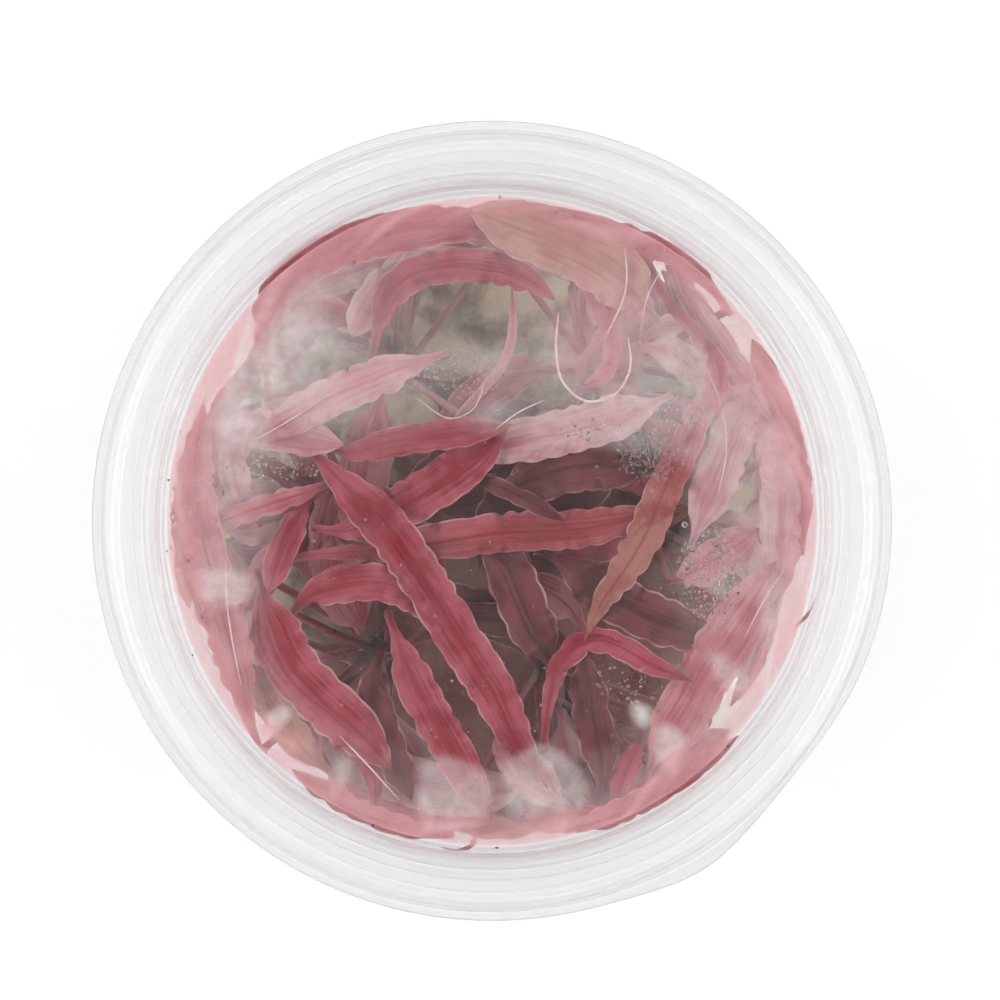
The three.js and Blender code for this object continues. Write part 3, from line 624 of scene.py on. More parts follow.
leafShape = dict(
    stalkHalf=0.5, tipHalf=0.1, tipStart=0.68, tipFall=2.2, bladeStart=0.03, bladeEase=0.06,
    bladeFrom=1.1, bladeFull=3.0, gap=0.5, layThick=0.6, cell=0.75, mapSpan=88, laidAcross=25,
    easing=6, bend=3.5, rise=11, rootRing=2.1, stalkStart=5, leanLow=0.12, leanHigh=0.6,
    leanHeight=0.62, ringStep=0.5, across=20, thick=0.32, thinnest=0.05, ribReach=0.45,
    thinned=0.55, ruffle=0.9, ruffleLength=5.2, ruffleEdge=2.2, fullRuffle=5, cupped=0.6,
    cupLength=14, lobe=3.1, lobeDepth=0.62, lobeEdge=3, pleat=0.13, pleatsAcross=5.5,
    pleatLength=9, flatEnd=3, fineCell=0.4, overlapShadeReach=3, tinge=(0.8, 1.3, 0.5))
# a tinge is the shares of a length where it starts and is full, and its greatest strength
mapCells = math.ceil(leafShape["mapSpan"] / leafShape["cell"])
taken = np.zeros(mapCells * mapCells)


def halfWidth(t, width, swell):
    # slender stalk, long blade, drawn-out point: eased rise, then a squared fall to the tip
    s = leafShape
    blade = smoothStep(s["bladeStart"], s["bladeEase"] + swell, t)
    narrowing = np.clip((t - s["tipStart"]) / (1 - s["tipStart"]), 0, None) ** s["tipFall"]
    half = (s["stalkHalf"] + (width / 2 - s["stalkHalf"]) * blade) * (1 - narrowing)
    return np.maximum(half, s["tipHalf"])


def layLeaf(leaf):
    # depth of each station below the lid: as high as the leaf can lie under those already
    # laid, taken as the greatest depth nearby and then averaged, so that it changes gently
    s = leafShape
    dense = roundPath(leaf["run"])
    count = math.ceil(evenPath(dense, 1)[1][-1])
    at, _ = evenPath(dense, count)
    t = np.linspace(0, 1, count + 1)
    along = unit(np.gradient(at, axis=0))
    side = np.stack([along[:, 1], -along[:, 0]], 1)
    half = halfWidth(t, leaf["width"], leaf["swell"])
    offset = np.linspace(-1, 1, s["laidAcross"])[None, :, None] * half[:, None, None]
    spots = at[:, None] + side[:, None] * offset
    cells = np.floor(spots / s["cell"] + mapCells / 2).astype(int)
    index = cells[..., 1] * mapCells + cells[..., 0]
    low, deep = leaf.get("sink", (0, 0))
    free = np.maximum(taken[index].max(1), low + (deep - low) * t)
    reach = s["easing"]
    padded = np.pad(free, reach, mode="edge")
    windows = np.lib.stride_tricks.sliding_window_view(padded, 2 * reach + 1)
    lowest = np.pad(windows.max(1), reach, mode="edge")
    depth = np.lib.stride_tricks.sliding_window_view(lowest, 2 * reach + 1).mean(1)
    depth = depth + s["gap"] + s["layThick"] / 2
    return dict(at=at, side=side, half=half, depth=depth, t=t, index=index)


def takeCells(laid):
    # marks the room down to the leaf's underside as taken
    bottom = (laid["depth"] + leafShape["layThick"] / 2)[:, None]
    np.maximum.at(taken, laid["index"], np.broadcast_to(bottom, laid["index"].shape))


def wholeSpine(laid, root, ringStep):
    # from the crown up, over in a bend and along the blade: points, share of length and side,
    # and how far along each point lies
    s = leafShape
    flat = np.column_stack([laid["at"], lidSize["underside"] - laid["depth"]])
    foot = flat[0]
    clear = foot[2] - root[2]
    upright = foot - [0, 0, min(s["rise"], clear / 2)]
    low = root + (upright - root) * s["leanLow"]
    low[2] = root[2] + min(s["stalkStart"], clear / 4)
    high = root + (upright - root) * s["leanHigh"]
    high[2] = root[2] + (upright[2] - root[2]) * s["leanHeight"]
    skip = round(s["bend"])
    blade = flat[skip:]
    picks = np.unique(np.linspace(0, len(blade) - 1, max(3, len(blade) // 3)).round().astype(int))
    stalk = [root, low, high, upright, foot - [0, 0, s["bend"]]]
    corners = np.vstack([*stalk, blade[picks]])
    shares = np.concatenate([np.zeros(len(stalk)), laid["t"][skip:][picks]])
    sides = np.vstack([np.repeat(laid["side"][skip][None], len(stalk), 0),
        laid["side"][skip:][picks]])
    path = roundPath(np.column_stack([corners, shares, sides]), 10)
    length = evenPath(path, 1, 3)[1][-1]
    return evenPath(path, max(24, round(length / ringStep)), 3)


def lobes(far, seed):
    # scalloped edge in millimetres: round lobes with narrow notches, uneven in length and depth
    s = leafShape
    turn = math.pi * far / s["lobe"] + 1.3 * wobble(far / s["lobe"] * 0.9, seed)
    depth = s["lobeDepth"] * (0.65 + 0.5 * wobble(far / 4.3, seed + 4.4))
    return (depth * (np.abs(np.sin(turn)) ** 0.7 - 0.75))[:, None]


def leafSurface(leaf, laid, root, seed, ringStep, n):
    # section at each point of the spine: a flattened lens whose margins ruffle up and down,
    # out of step on the two sides, carried along the spine; over goes across and back, from
    # one margin at 1 to the other at -1. The rise is the lens, thinned away from its rib, the
    # ruffle, a shallow bowl and fine pleats along the blade, all fading out towards the tip
    s = leafShape
    path, far = wholeSpine(laid, root, ringStep)
    at = path[:, :3]
    t = np.clip(path[:, 3], 0, 1)
    along = unit(np.gradient(at, axis=0))
    side = np.column_stack([path[:, 4:6], np.zeros(len(at))])
    side = unit(side - (side * along).sum(1, keepdims=True) * along)
    up = np.cross(side, along)
    half = halfWidth(t, leaf["width"], leaf["swell"])
    blade = smoothStep(s["stalkHalf"] * s["bladeFrom"], s["stalkHalf"] * s["bladeFull"], half)
    v = np.cos(np.linspace(0, math.pi, n + 1))
    over = np.concatenate([v, v[-2:0:-1]])[None]
    isTop = np.concatenate([np.ones(n + 1), -np.ones(n - 1)])
    isTop[[0, n]] = 0
    strength = blade * s["ruffle"] * np.minimum(1, leaf["width"] / s["fullRuffle"])
    phase = far * 2 * math.pi / s["ruffleLength"]
    right = (wobble(phase, seed) * strength)[:, None]
    left = (wobble(phase * 1.13, seed + 5.3) * strength)[:, None]
    half, blade = half[:, None], blade[:, None]
    margin = np.where(over > 0, right, left) * np.abs(over) ** s["ruffleEdge"]
    edge = np.where(over > 0, lobes(far, seed + 2.1), lobes(far, seed + 3.7))
    outward = edge * blade * np.abs(over) ** s["lobeEdge"]
    thick = np.maximum(s["thick"] / 2 * blade + s["stalkHalf"] * (1 - blade), s["thinnest"])
    rib = np.exp(-(over * half / s["ribReach"]) ** 2)
    lens = np.sqrt(np.maximum(1 - over ** 2, 0)) * (1 - s["thinned"] * blade * (1 - rib))
    cup = wobble(far / s["cupLength"], seed + 8.8)[:, None]
    bowl = s["cupped"] * blade * cup * (over ** 2 - 0.4)
    drift = wobble(far / s["pleatLength"], seed)[:, None]
    pleats = s["pleat"] * blade * wobble(over * s["pleatsAcross"] + 0.4 * drift, seed + 1.9)
    rise = isTop[None] * lens * thick + margin + bowl + pleats
    rise = rise * (0.25 + 0.75 * np.minimum(1, (far[-1] - far) / s["flatEnd"])[:, None])
    reach = over * half + np.sign(over) * outward
    points = at[:, None] + side[:, None] * reach[..., None] + up[:, None] * rise[..., None]
    mapU = np.broadcast_to(0.5 + over / 2, rise.shape)
    mapV = np.broadcast_to(far[:, None] / 10 + seed * 7.3, rise.shape)
    start, full, most = leaf.get("tinge", s["tinge"])
    tinged = np.broadcast_to(most * smoothStep(start, full, t)[:, None], rise.shape)
    return points, mapU, mapV, tinged


fineCells = math.ceil(2 * lidSize["radius"] / leafShape["fineCell"])
reached = np.zeros((fineCells, fineCells))


def fineIndex(x, y):
    # row and column of the fine map of the height that the leaves reach
    cell = leafShape["fineCell"]
    return (y / cell + fineCells / 2).astype(int), (x / cell + fineCells / 2).astype(int)


def overlapShadeShare(surfaces):
    # how closely each point lies on the leaf below it, from 1 where they touch, which sets the
    # painted shade there; the leaves are taken from the lowest up
    shares = []
    for points, *_ in reversed(surfaces):
        row, column = fineIndex(points[..., 0], points[..., 1])
        rise = np.maximum(points[..., 2] - reached[row, column], 0)
        shares.append(np.exp(-rise / leafShape["overlapShadeReach"]))
        np.maximum.at(reached, (row, column), points[..., 2])
    return shares[::-1]


def leafPiece(name, surfaces, shares, colours, slot, stands, more=None):
    # one mesh from one leaf's surface, or from several and the crown that they grow on
    used = sorted(set(colours))
    skins, maps, layered, tinges, kinds = [], [], [], [], []
    for (surface, mapU, mapV, tinged), share, colour in zip(surfaces, shares, colours):
        faces = closedSkin(*surface.shape[:2])
        skins.append((surface.reshape(-1, 3), faces))
        maps.append(np.stack([mapU.reshape(-1), mapV.reshape(-1)], 1))
        layered.append(share.reshape(-1))
        tinges.append(tinged.reshape(-1))
        kinds.append(np.full(len(faces), used.index(colour)))
    paints = [leafPaints[colour] for colour in used]
    if more is not None:
        bare = np.zeros(len(more[0]))
        skins.append(more)
        maps.append(np.stack([bare, bare], 1))
        layered.append(bare)
        tinges.append(bare)
        kinds.append(np.full(len(more[1]), len(paints)))
        paints.append(crownPaint)
    newPiece(name, *joined(skins), paints, slot, stands, np.concatenate(kinds), np.vstack(maps),
        {"layered": np.concatenate(layered), "tinged": np.concatenate(tinges)})


laidLeaves = {}
for name, leaf in leaves.items():
    laidLeaves[name] = layLeaf(leaf)
    takeCells(laidLeaves[name])
print("leaves laid")

crowns = {
    "west": (-21, 3), "northwest": (-13, 21), "northeast": (14, 20), "east": (23, -1),
    "south": (8, -21), "southwest": (-15, -18),
}
crownNames = list(crowns)
crownSize = dict(top=15, radius=2.9, foot=8.6, footRadius=1.4, steps=20, gap=0.3, rounding=0.5)


def crownProfile(s):
    # a blunt peg, narrow at its foot in the gel
    return eased([
        (0, s["foot"]), (s["footRadius"], s["foot"] + 1), (s["radius"], s["foot"] + 4),
        (s["radius"], s["top"] - 0.8), (s["radius"] - 0.6, s["top"]), (0, s["top"])],
        s["rounding"])


def around(centre, radius, heading, height):
    # the point at that radius and heading from the centre
    return np.array([centre[0] + radius * math.cos(heading),
        centre[1] + radius * math.sin(heading), height])


leafSurfaces = {}
for crownName, centre in crowns.items():
    # the stalks leave the crown at even steps round it, in the order in which they lean
    own = [name for name, leaf in leaves.items() if leaf["crown"] == crownName]
    lean = {}
    for name in own:
        x, y = leaves[name]["run"][0]
        lean[name] = math.atan2(y - centre[1], x - centre[0])
    own.sort(key=lambda name: lean[name])
    share = 2 * math.pi / len(own)
    first = sum(lean[name] - k * share for k, name in enumerate(own)) / len(own)
    for k, name in enumerate(own):
        root = around(centre, leafShape["rootRing"], first + k * share,
            crownSize["top"] + crownSize["gap"])
        leafSurfaces[name] = leafSurface(leaves[name], laidLeaves[name], root,
            1 + list(leaves).index(name), leafShape["ringStep"], leafShape["across"])
ordered = [leafSurfaces[name] for name in leaves]
for name, share in zip(leaves, overlapShadeShare(ordered)):
    colour = leaves[name]["colour"]
    slot = "leaf_" + leaves[name].get("slot", colour)
    leafPiece(f"leaf_{name}_blade", [leafSurfaces[name]], [share], [colour], slot,
        [f"leaf_{name}"])
print("leaves made")


# Lower leaves, which spread from the crowns below the others

lower = dict(tries=3600, turn=goldenTurn, rootRadius=2.3, rootDepth=0.6, bladeStart=4.5,
    step=6.5, leastPoints=3, morePoints=3, mostCurl=0.5, curlStep=5.13, wallReach=34.5,
    width=(4, 7.6), share=0.381966, sink=(4, 24), droop=3, swell=0.25, ringStep=0.9, across=12,
    near=0.6, wallGap=0.3, extra=150, deepest=34, darkRadius=19, darkCentre=(3, -4),
    paleBeyond=27)
rimLeaves = dict(count=42, unevenness=8, span=38, inner=36, outer=41, width=(3, 5), swell=0.3,
    sink=(0.3, 7), droop=3, colours=("pale", "pink", "pale", "pink", "tan"))
bareSpots = [(-21, 23, 6), (-8, 25, 6), (-10, 14.5, 4)]  # gel shows here


def between(ends, share):
    # the number at that share of the way from one end to the other
    return ends[0] + (ends[1] - ends[0]) * share


def lowerLeaf(k, centre):
    # a leaf's path in plan: even steps from its crown, turning a little at each, and bent
    # round along the wall where it would pass it
    u = lower
    heading = k * u["turn"]
    x, y, _ = around(centre, u["bladeStart"], heading, 0)
    run = []
    for _ in range(u["leastPoints"] + k % u["morePoints"]):
        far = math.hypot(x, y)
        if far > u["wallReach"]:
            x, y = x * u["wallReach"] / far, y * u["wallReach"] / far
            along = math.atan2(x, -y)
            heading = along if math.cos(along - heading) > 0 else along + math.pi
        run.append((x, y))
        x, y = x + u["step"] * math.cos(heading), y + u["step"] * math.sin(heading)
        heading += u["mostCurl"] * math.sin(k * u["curlStep"])
    sink = u["sink"][0] + (u["sink"][1] - u["sink"][0]) * k / u["tries"]
    width = between(u["width"], scattered(k, u["share"]))
    return dict(run=run, width=width, swell=u["swell"], sink=(sink, sink + u["droop"]))


def rimLeaf(k):
    # a short leaf bent along the wall, from its crown's side of the cup outwards
    r = rimLeaves
    start = math.radians(360 * k / r["count"] + r["unevenness"] * math.sin(k * 2.7))
    way = 1 if k % 3 else -1
    span = math.radians(r["span"] * (0.7 + 0.3 * math.cos(k * 1.9)))
    share = np.linspace(0, 1, 6)
    far = r["inner"] + (r["outer"] - r["inner"]) * share ** 0.4
    turn = start + way * span * share
    run = list(zip(far * np.cos(turn), far * np.sin(turn)))
    width = between(r["width"], scattered(k, 0.382))
    sink = between(r["sink"], scattered(k, 0.618))
    return dict(run=run, width=width, swell=r["swell"], sink=(sink + r["droop"], sink),
        colour=r["colours"][k % len(r["colours"])])


def layInside(leaf):
    # laid twice: the second time drawn in, where the cup narrows, by as much as it stuck out
    c = cupSize
    laid = layLeaf(leaf)
    slope = (c["topRadius"] - c["floorRadius"]) / (c["neckBottom"] - c["floorTop"] - c["floorRise"])
    height = lidSize["underside"] - laid["depth"] - leafShape["ruffle"]
    wall = c["floorRadius"] + slope * (height - c["floorTop"] - c["floorRise"])
    far = np.hypot(*laid["at"].T) + laid["half"] + leafShape["lobeDepth"] + lower["wallGap"]
    excess = max(0, (far - wall).max())
    kept = [1 - excess / math.hypot(x, y) for x, y in leaf["run"]]
    leaf = dict(leaf, run=[(x * k, y * k) for (x, y), k in zip(leaf["run"], kept)])
    return leaf, layLeaf(leaf)


def isBare(run):
    # whether the leaf would cross a place where the gel shows
    return any(math.hypot(x - bx, y - by) < r for x, y in run for bx, by, r in bareSpots)


def lowerColour(k, run):
    # dark in the middle of the cup, pale near its wall and pink between; the dark wine in the
    # middle is painted shade, where these leaves lie under the others
    middle = np.array(run[len(run) // 2])
    if np.hypot(*(middle - lower["darkCentre"])) < lower["darkRadius"]:
        return "wine" if k % 3 else "rose"
    return "pale" if np.hypot(*middle) > lower["paleBeyond"] else "pink"


def grewHere(laid, corners):
    # a lower leaf has grown where its crown's solid has a corner at its tip
    tip = [*laid["at"][-1], lidSize["underside"] - laid["depth"][-1]]
    return np.linalg.norm(corners - tip, axis=1).min() < lower["near"]


rosettes = {name: [] for name in crownNames}


def grow(name, k, leaf, laid, colour):
    # takes up the leaf's room and adds its surface to the crown's rosette
    takeCells(laid)
    root = around(crowns[name], lower["rootRadius"], k * lower["turn"],
        crownSize["top"] - lower["rootDepth"])
    surface = leafSurface(leaf, laid, root, 70 + k, lower["ringStep"], lower["across"])
    rosettes[name].append((surface, colour))


crownCorners = {}
for name in crownNames:
    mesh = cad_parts[f"crown_{name}"].data
    corners = np.empty(3 * len(mesh.vertices))
    mesh.vertices.foreach_get("co", corners)
    crownCorners[name] = np.unique(np.round(corners.reshape(-1, 3) / mm, 2), axis=0)
for k in range(lower["tries"]):
    name = crownNames[k % len(crownNames)]
    leaf = lowerLeaf(k, crowns[name])
    toTip = crownCorners[name][:, :2] - leaf["run"][-1]
    if np.hypot(*toTip.T).min() < lower["near"]:
        laid = layLeaf(leaf)
        if grewHere(laid, crownCorners[name]):
            grow(name, k, leaf, laid, lowerColour(k, leaf["run"]))
print("lower leaves found:", sum(len(rosette) for rosette in rosettes.values()))

for k in range(rimLeaves["count"]):
    leaf = rimLeaf(k)
    toFoot = [math.dist(leaf["run"][0], crowns[name]) for name in crownNames]
    leaf, laid = layInside(leaf)
    grow(crownNames[toFoot.index(min(toFoot))], k + 11, leaf, laid, leaf["colour"])
for k in range(lower["extra"]):
    # the last few fill in between them, thin and hidden, where no room is left for a solid
    name = crownNames[k % len(crownNames)]
    place = round((k + 0.5) * lower["tries"] / lower["extra"])
    place += (k - place) % len(crownNames)
    leaf, laid = layInside(lowerLeaf(place, crowns[name]))
    if laid["depth"].max() < lower["deepest"] and not isBare(leaf["run"]):
        grow(name, place, leaf, laid, lowerColour(place, leaf["run"]))
for name, rosette in rosettes.items():
    surfaces = [surface for surface, _ in rosette]
    shares = [np.zeros(surface[0].shape[:2]) for surface in surfaces]
    crownShape = turnedShape(crownProfile(crownSize), crownSize["steps"], crowns[name])
    leafPiece(f"crown_{name}_rosette", surfaces, shares, [colour for _, colour in rosette],
        "crown", [f"crown_{name}"], crownShape)
print("crowns and lower leaves made:", sum(len(rosette) for rosette in rosettes.values()))


# Roots, drops, mist and specks

rootSize = dict(count=13, radius=0.28, narrowing=0.75, start=12.5, depth=4, crownEdge=1.6,
    reach=11, shortest=0.5, wander=0.8, wallReach=35.5, sides=6, rings=14)
dropSize = dict(seed=11, least=0.1, most=0.24, rarity=2.5, softEdge=(0.55, 1.1), flat=0.55,
    sides=7, rings=2, rimGap=0.4, gap=0.01)
film = dict(radius=40.6, rings=90, clearance=(0.9, 5), touching=0.2, wash=0.01, rimWash=0.09,
    rimSpan=(24, 38), cover=(0.02, 0.6), fade=0.7, corner=1.0, blur=4, ragged=0.7,
    edgeTissue=2.6, edgeSpan=(36, 39.2), edgeWave=0.8, edgeStreak=0.5)
speckSize = dict(radius=0.27, flat=0.7, sides=7, rings=3, gap=0.02)
threadSize = dict(sides=6, steps=8, taper=6, ends=0.3, threadDrop=0.3, tipDrop=0.6)

# patches of fine drops under the lid: centre, half widths and how many
dropPatches = [
    (19.8, 8.2, 4.6, 3.4, 420), (27.2, -6.8, 4.2, 6.2, 560), (17.2, -20.2, 4.2, 3, 70),
    (-27.8, 6.6, 6.4, 1.8, 160), (-39.2, 0.8, 1.1, 10, 120), (12.2, 11.4, 4.4, 1.6, 160),
    (24, 13.5, 4, 2, 120), (0, -20, 20, 12, 30), (5, 5, 30, 30, 60), (-4, 18, 6, 3, 220),
]
bigDrops = [(28.5, -3.5, 0.62), (24.5, -5.2, 0.5), (28.5, -7.8, 0.45), (24, -0.5, 0.4)]

# bright patches of painted reflection near the lid's edge: strength, and the corners in order
paintedGlares = [
    (0.8, [(-38, -6.2), (-32, -5.6), (-28.4, -7.1), (-28.8, -9.6), (-33, -11.6), (-37, -10.4)]),
    (2.6, [(-29.4, -25.1), (-26.4, -22.6), (-24, -22.2), (-24.4, -24.2), (-28, -28)]),
    (2.2, [(-27.5, -29.4), (-24.6, -26.5), (-22.6, -26.2), (-23.1, -27.9), (-26, -30.1)]),
    (1.4, [(-20.6, -30.8), (-17.8, -28.5), (-16.6, -30.5), (-17.2, -32.8), (-20.1, -35.5)]),
    (1.5, [(-17.9, -34.1), (-16.1, -33.2), (-15.5, -34.1), (-17, -35.9)]),
    (0.7, [(-8.8, -29.5), (-4.5, -28.8), (0.5, -32.5), (-1.5, -39), (-6, -40), (-9.5, -34)]),
    (1.6, [(-9, -31.4), (-6.6, -34.6), (-6.4, -38.8), (-8.4, -39.4), (-10, -35.8)]),
    (0.7, [(1, -30.4), (6.4, -27.2), (10.4, -29.4), (12.6, -33.4), (10, -39), (4, -40)]),
    (1.2, [(1.6, -33), (3.8, -31.2), (5, -34.2), (4.2, -38.6), (2, -38)]),
    (2.8, [(16.4, -23), (18.4, -21.9), (20.4, -23.4), (19.2, -26.8), (17.4, -25.4)]),
    (1.2, [(19.4, -26.2), (20.8, -24.2), (25, -27.4), (22.5, -32.8), (19, -28.1)]),
    (0.9, [(26.2, -16.1), (28.5, -15.5), (31.6, -18), (34.5, -21.1), (32.5, -23), (27.9, -21.1)]),
    (0.6, [(32.9, -7.4), (36, -6.4), (39.2, -8.5), (38.5, -18.5), (35, -19)]),
    (0.7, [(33.2, 13.5), (37.9, 11), (38.6, 4), (35, 2.5), (32.5, 8)]),
    (0.55, [(-34.5, 13.4), (-27.4, 12.4), (-27.4, 8), (-34.5, 8.6)]),
]

# pale torn tissue that lies see-through against the lid: strength, and the corners in order
veils = [
    (1, [(6.6, 27.6), (13.5, 32.6), (20.4, 27.6), (22, 21.4), (18.5, 15.1), (8.5, 15.1)]),
    (1, [(1, 10.1), (6.6, 15.1), (18.5, 15.1), (22.5, 21.1), (21.6, 12.6), (13.5, 10.1)]),
    (1, [(-29.6, 11.4), (-24, 16.4), (-17.8, 22), (-10.2, 21.4), (-7.8, 19.9), (-12.8, 15.8),
        (-20.2, 11.4)]),
    (1, [(-40, 12), (-36, 16), (-31, 12.6), (-33, 4), (-35, -4), (-39, -6), (-41, 3)]),
    (1, [(29.8, 20), (34, 22), (38.6, 12.6), (39.5, 0), (35, -1), (31, 8)]),
    (1, [(24.8, 20.1), (29.8, 23.9), (34.8, 15.1), (31, 10.1), (26, 11.4)]),
    (2.6, [(26.6, -27), (32, -26), (33.8, -18.5), (29.2, -19)]),
    (2.6, [(19, 33.4), (24, 32.8), (26.4, 28), (20.4, 28)]),
    (2.6, [(25.6, 29), (31.4, 25.8), (32, 21), (26.8, 23)]),
    (2.6, [(-27.4, -29.4), (-22, -33.6), (-20.6, -30.6), (-25, -26)]),
]

# where the fog under the lid is thicker or thinner: centre, half widths and change of cover
fogSpots = [
    (13, 18, 9, 11, 0.22), (24, 17, 8, 8, 0.16), (-15, 17, 9, 8, 0.10), (-24, 25, 9, 9, 0.08),
    (-4, 22, 9, 9, 0.05), (14, 10, 12, 3, 0.14), (30, 4, 7, 14, 0.12), (-34, 5, 6, 16, 0.12),
    (26, -6, 6, 8, 0.04), (11, 4.5, 12, 6, -0.35), (-26, 22, 7, 8, 0.24), (-32, 17, 5, 5, 0.2),
    (0, 13.4, 3.4, 2, 0.2), (-1, 19.5, 6, 3, 0.1), (-14, -14, 10, 8, -0.1), (2, -22, 12, 8, -0.1),
]

# fine pale edges, torn tissue and painted highlights standing in for glints: radius, and the
# points that each runs through
tornEdgesAndGlints = [
    (0.10, [(-19, -26.8), (-15, -31), (-11.5, -34.9)]),
    (0.09, [(-33.2, -4.9), (-33.1, -9.9), (-32.4, -14.9), (-31.3, -20.5)]),
    (0.08, [(31.5, -14.5), (34, -9.8), (37, -5.2)]),
    (0.08, [(26.5, 19.6), (28.6, 14.2), (29.2, 8.4), (28.2, 3.4)]),
    (0.08, [(-30.5, 9.6), (-25.5, 12.4), (-20.4, 15.8)]),
    (0.07, [(-9.8, 15.6), (-5.4, 12.8), (-2.4, 13.9), (-0.6, 18.2)]),
    (0.07, [(22.4, 33.2), (19.4, 28), (18.4, 22)]),
    (0.09, [(0.4, 11.4), (3.4, 13.6), (6.6, 15.1)]),
    (0.11, [(16.6, 34), (16.8, 30), (16.3, 27.5), (14, 22.6)]),
    (0.16, [(8.3, 26), (8, 21.4), (8.8, 17.4), (11.6, 15), (15.2, 15.7), (17.2, 18.9), (17, 23)]),
]

caughtTips = {  # colour, radius and the points that each runs through
    "curled_pink": ("pink", 0.32, [(-2, -38.8), (-2.4, -40.4), (-3.6, -41.4), (-5.2, -41.7),
        (-6.3, -41.1)]),
    "pinched_tan": ("tan", 0.3, [(37.8, -13.2), (39.4, -12.1), (40.6, -11), (41.2, -9.9)]),
}

# small dark specks caught at the lid's edge
specks = [(1, 40.4), (19, 33.9), (-38.9, 11.1), (-40.4, 5.1), (-39.6, 4), (-40.6, -3.8),
    (-37.9, -5), (-37.5, -16.8), (-14.9, -38.1), (0.6, -40.9), (8.6, -41), (29.5, -28.2),
    (37.6, 6.8), (37, 3.9)]


def clearWater(name):
    # clear by transmission and index, and open to light for shadows; its faint pink colour is
    # painted shade and reflection, so that the drops show darker and take the leaves' pink
    paint = Paint(name)
    water = paint.node("BsdfPrincipled", {"Base Color": (0.93, 0.86, 0.86), "Roughness": 0.0,
        "IOR": 1.33, "Transmission Weight": 1.0})
    return paint.finishClear(water, (0.98, 0.98, 0.98))


threadPaint = softFinish("torn_edge_and_glint", (0.80, 0.62, 0.56), (0.66, 0.42, 0.40), 600, 0.5, 0.05)
dropPaint = clearWater("water_drop")


def copies(shape, faces, centres, sizes):
    # one mesh of many: each copy is the shape times its size, moved to its centre
    points = centres[:, None] + shape[None] * sizes[:, None, :]
    step = np.arange(len(centres)) * len(shape)
    everyFace = faces[None] + step[:, None, None]
    return points.reshape(-1, 3), everyFace.reshape(-1, faces.shape[1]).tolist()


def domeShape(sides, rings):
    # half a ball hanging below its flat top, closed by a fan to a point in that top
    lift = np.linspace(0, math.pi / 2, rings + 1)[:-1]
    turn = roundTurn(sides)
    ball = np.stack([np.cos(lift)[:, None] * np.cos(turn), np.cos(lift)[:, None] * np.sin(turn),
        -np.sin(lift)[:, None] * np.ones(sides)], -1).reshape(-1, 3)
    points = np.vstack([ball, [[0, 0, -1], [0, 0, 0]]])
    quads = ringQuads(rings, sides)[:, ::-1]
    ring = np.arange(sides)
    onward = np.roll(ring, -1)
    last = (rings - 1) * sides
    low, high = len(ball), len(ball) + 1
    tip = np.stack([last + onward, last + ring, np.full(sides, low)], 1)
    top = np.stack([ring, onward, np.full(sides, high)], 1)
    return points, np.vstack([quads[:, [0, 1, 2]], quads[:, [0, 2, 3]], tip, top])


def makeDrops():
    # drops scattered evenly at random over each patch, small ones far commoner than large
    s = dropSize
    rng = np.random.default_rng(s["seed"])
    spots, sizes = [], []
    for x, y, halfX, halfY, count in dropPatches:
        away = rng.uniform(-1, 1, (count, 2))
        keep = (away ** 2).sum(1) < rng.uniform(*s["softEdge"], count)
        spots.append(np.array([x, y]) + away[keep] * [halfX, halfY])
        share = rng.uniform(0, 1, keep.sum()) ** s["rarity"]
        sizes.append(s["least"] + (s["most"] - s["least"]) * share)
    spots = np.vstack([*spots, [d[:2] for d in bigDrops]])
    sizes = np.concatenate([*sizes, [d[2] for d in bigDrops]])
    near = np.hypot(*spots.T) < lidSize["windowRadius"] - s["rimGap"]
    spots, sizes = spots[near], sizes[near]
    centres = np.column_stack([spots, np.full(len(spots), lidSize["underside"] - s["gap"])])
    scale = np.column_stack([sizes, sizes, sizes * s["flat"]])
    newPiece("condensation_drops", *copies(*domeShape(s["sides"], s["rings"]), centres, scale),
        [dropPaint], "clear_plastic")


def makeSpecks():
    # flat dark grains, each of its own size
    s = speckSize
    centres = np.array([(x, y, lidSize["underside"] - s["gap"]) for x, y in specks])
    turn = np.arange(len(specks))
    sizes = s["radius"] * np.column_stack([0.8 + 0.3 * np.sin(turn * 2.3),
        0.8 + 0.3 * np.cos(turn * 3.1), np.full(len(specks), s["flat"])])
    newPiece("dark_specks", *copies(*domeShape(s["sides"], s["rings"]), centres, sizes),
        [speckPaint], "crown")


def softShape(x, y, corners, fade, corner):
    # 1 inside a shape with straight sides and rounded corners, fading to 0 just past its sides
    ring = np.array(corners)
    onward = unit(np.roll(ring, -1, 0) - ring)
    inward = np.stack([-onward[:, 1], onward[:, 0]], 1)
    if ((ring.mean(0) - ring) * inward).sum() < 0:
        inward = -inward
    depth = ((np.stack([x, y], -1)[:, None] - ring) * inward).sum(-1)
    inside = -np.log(np.exp(-np.clip(depth / corner, -40, 40)).sum(-1)) * corner
    return smoothStep(-fade, fade, inside)


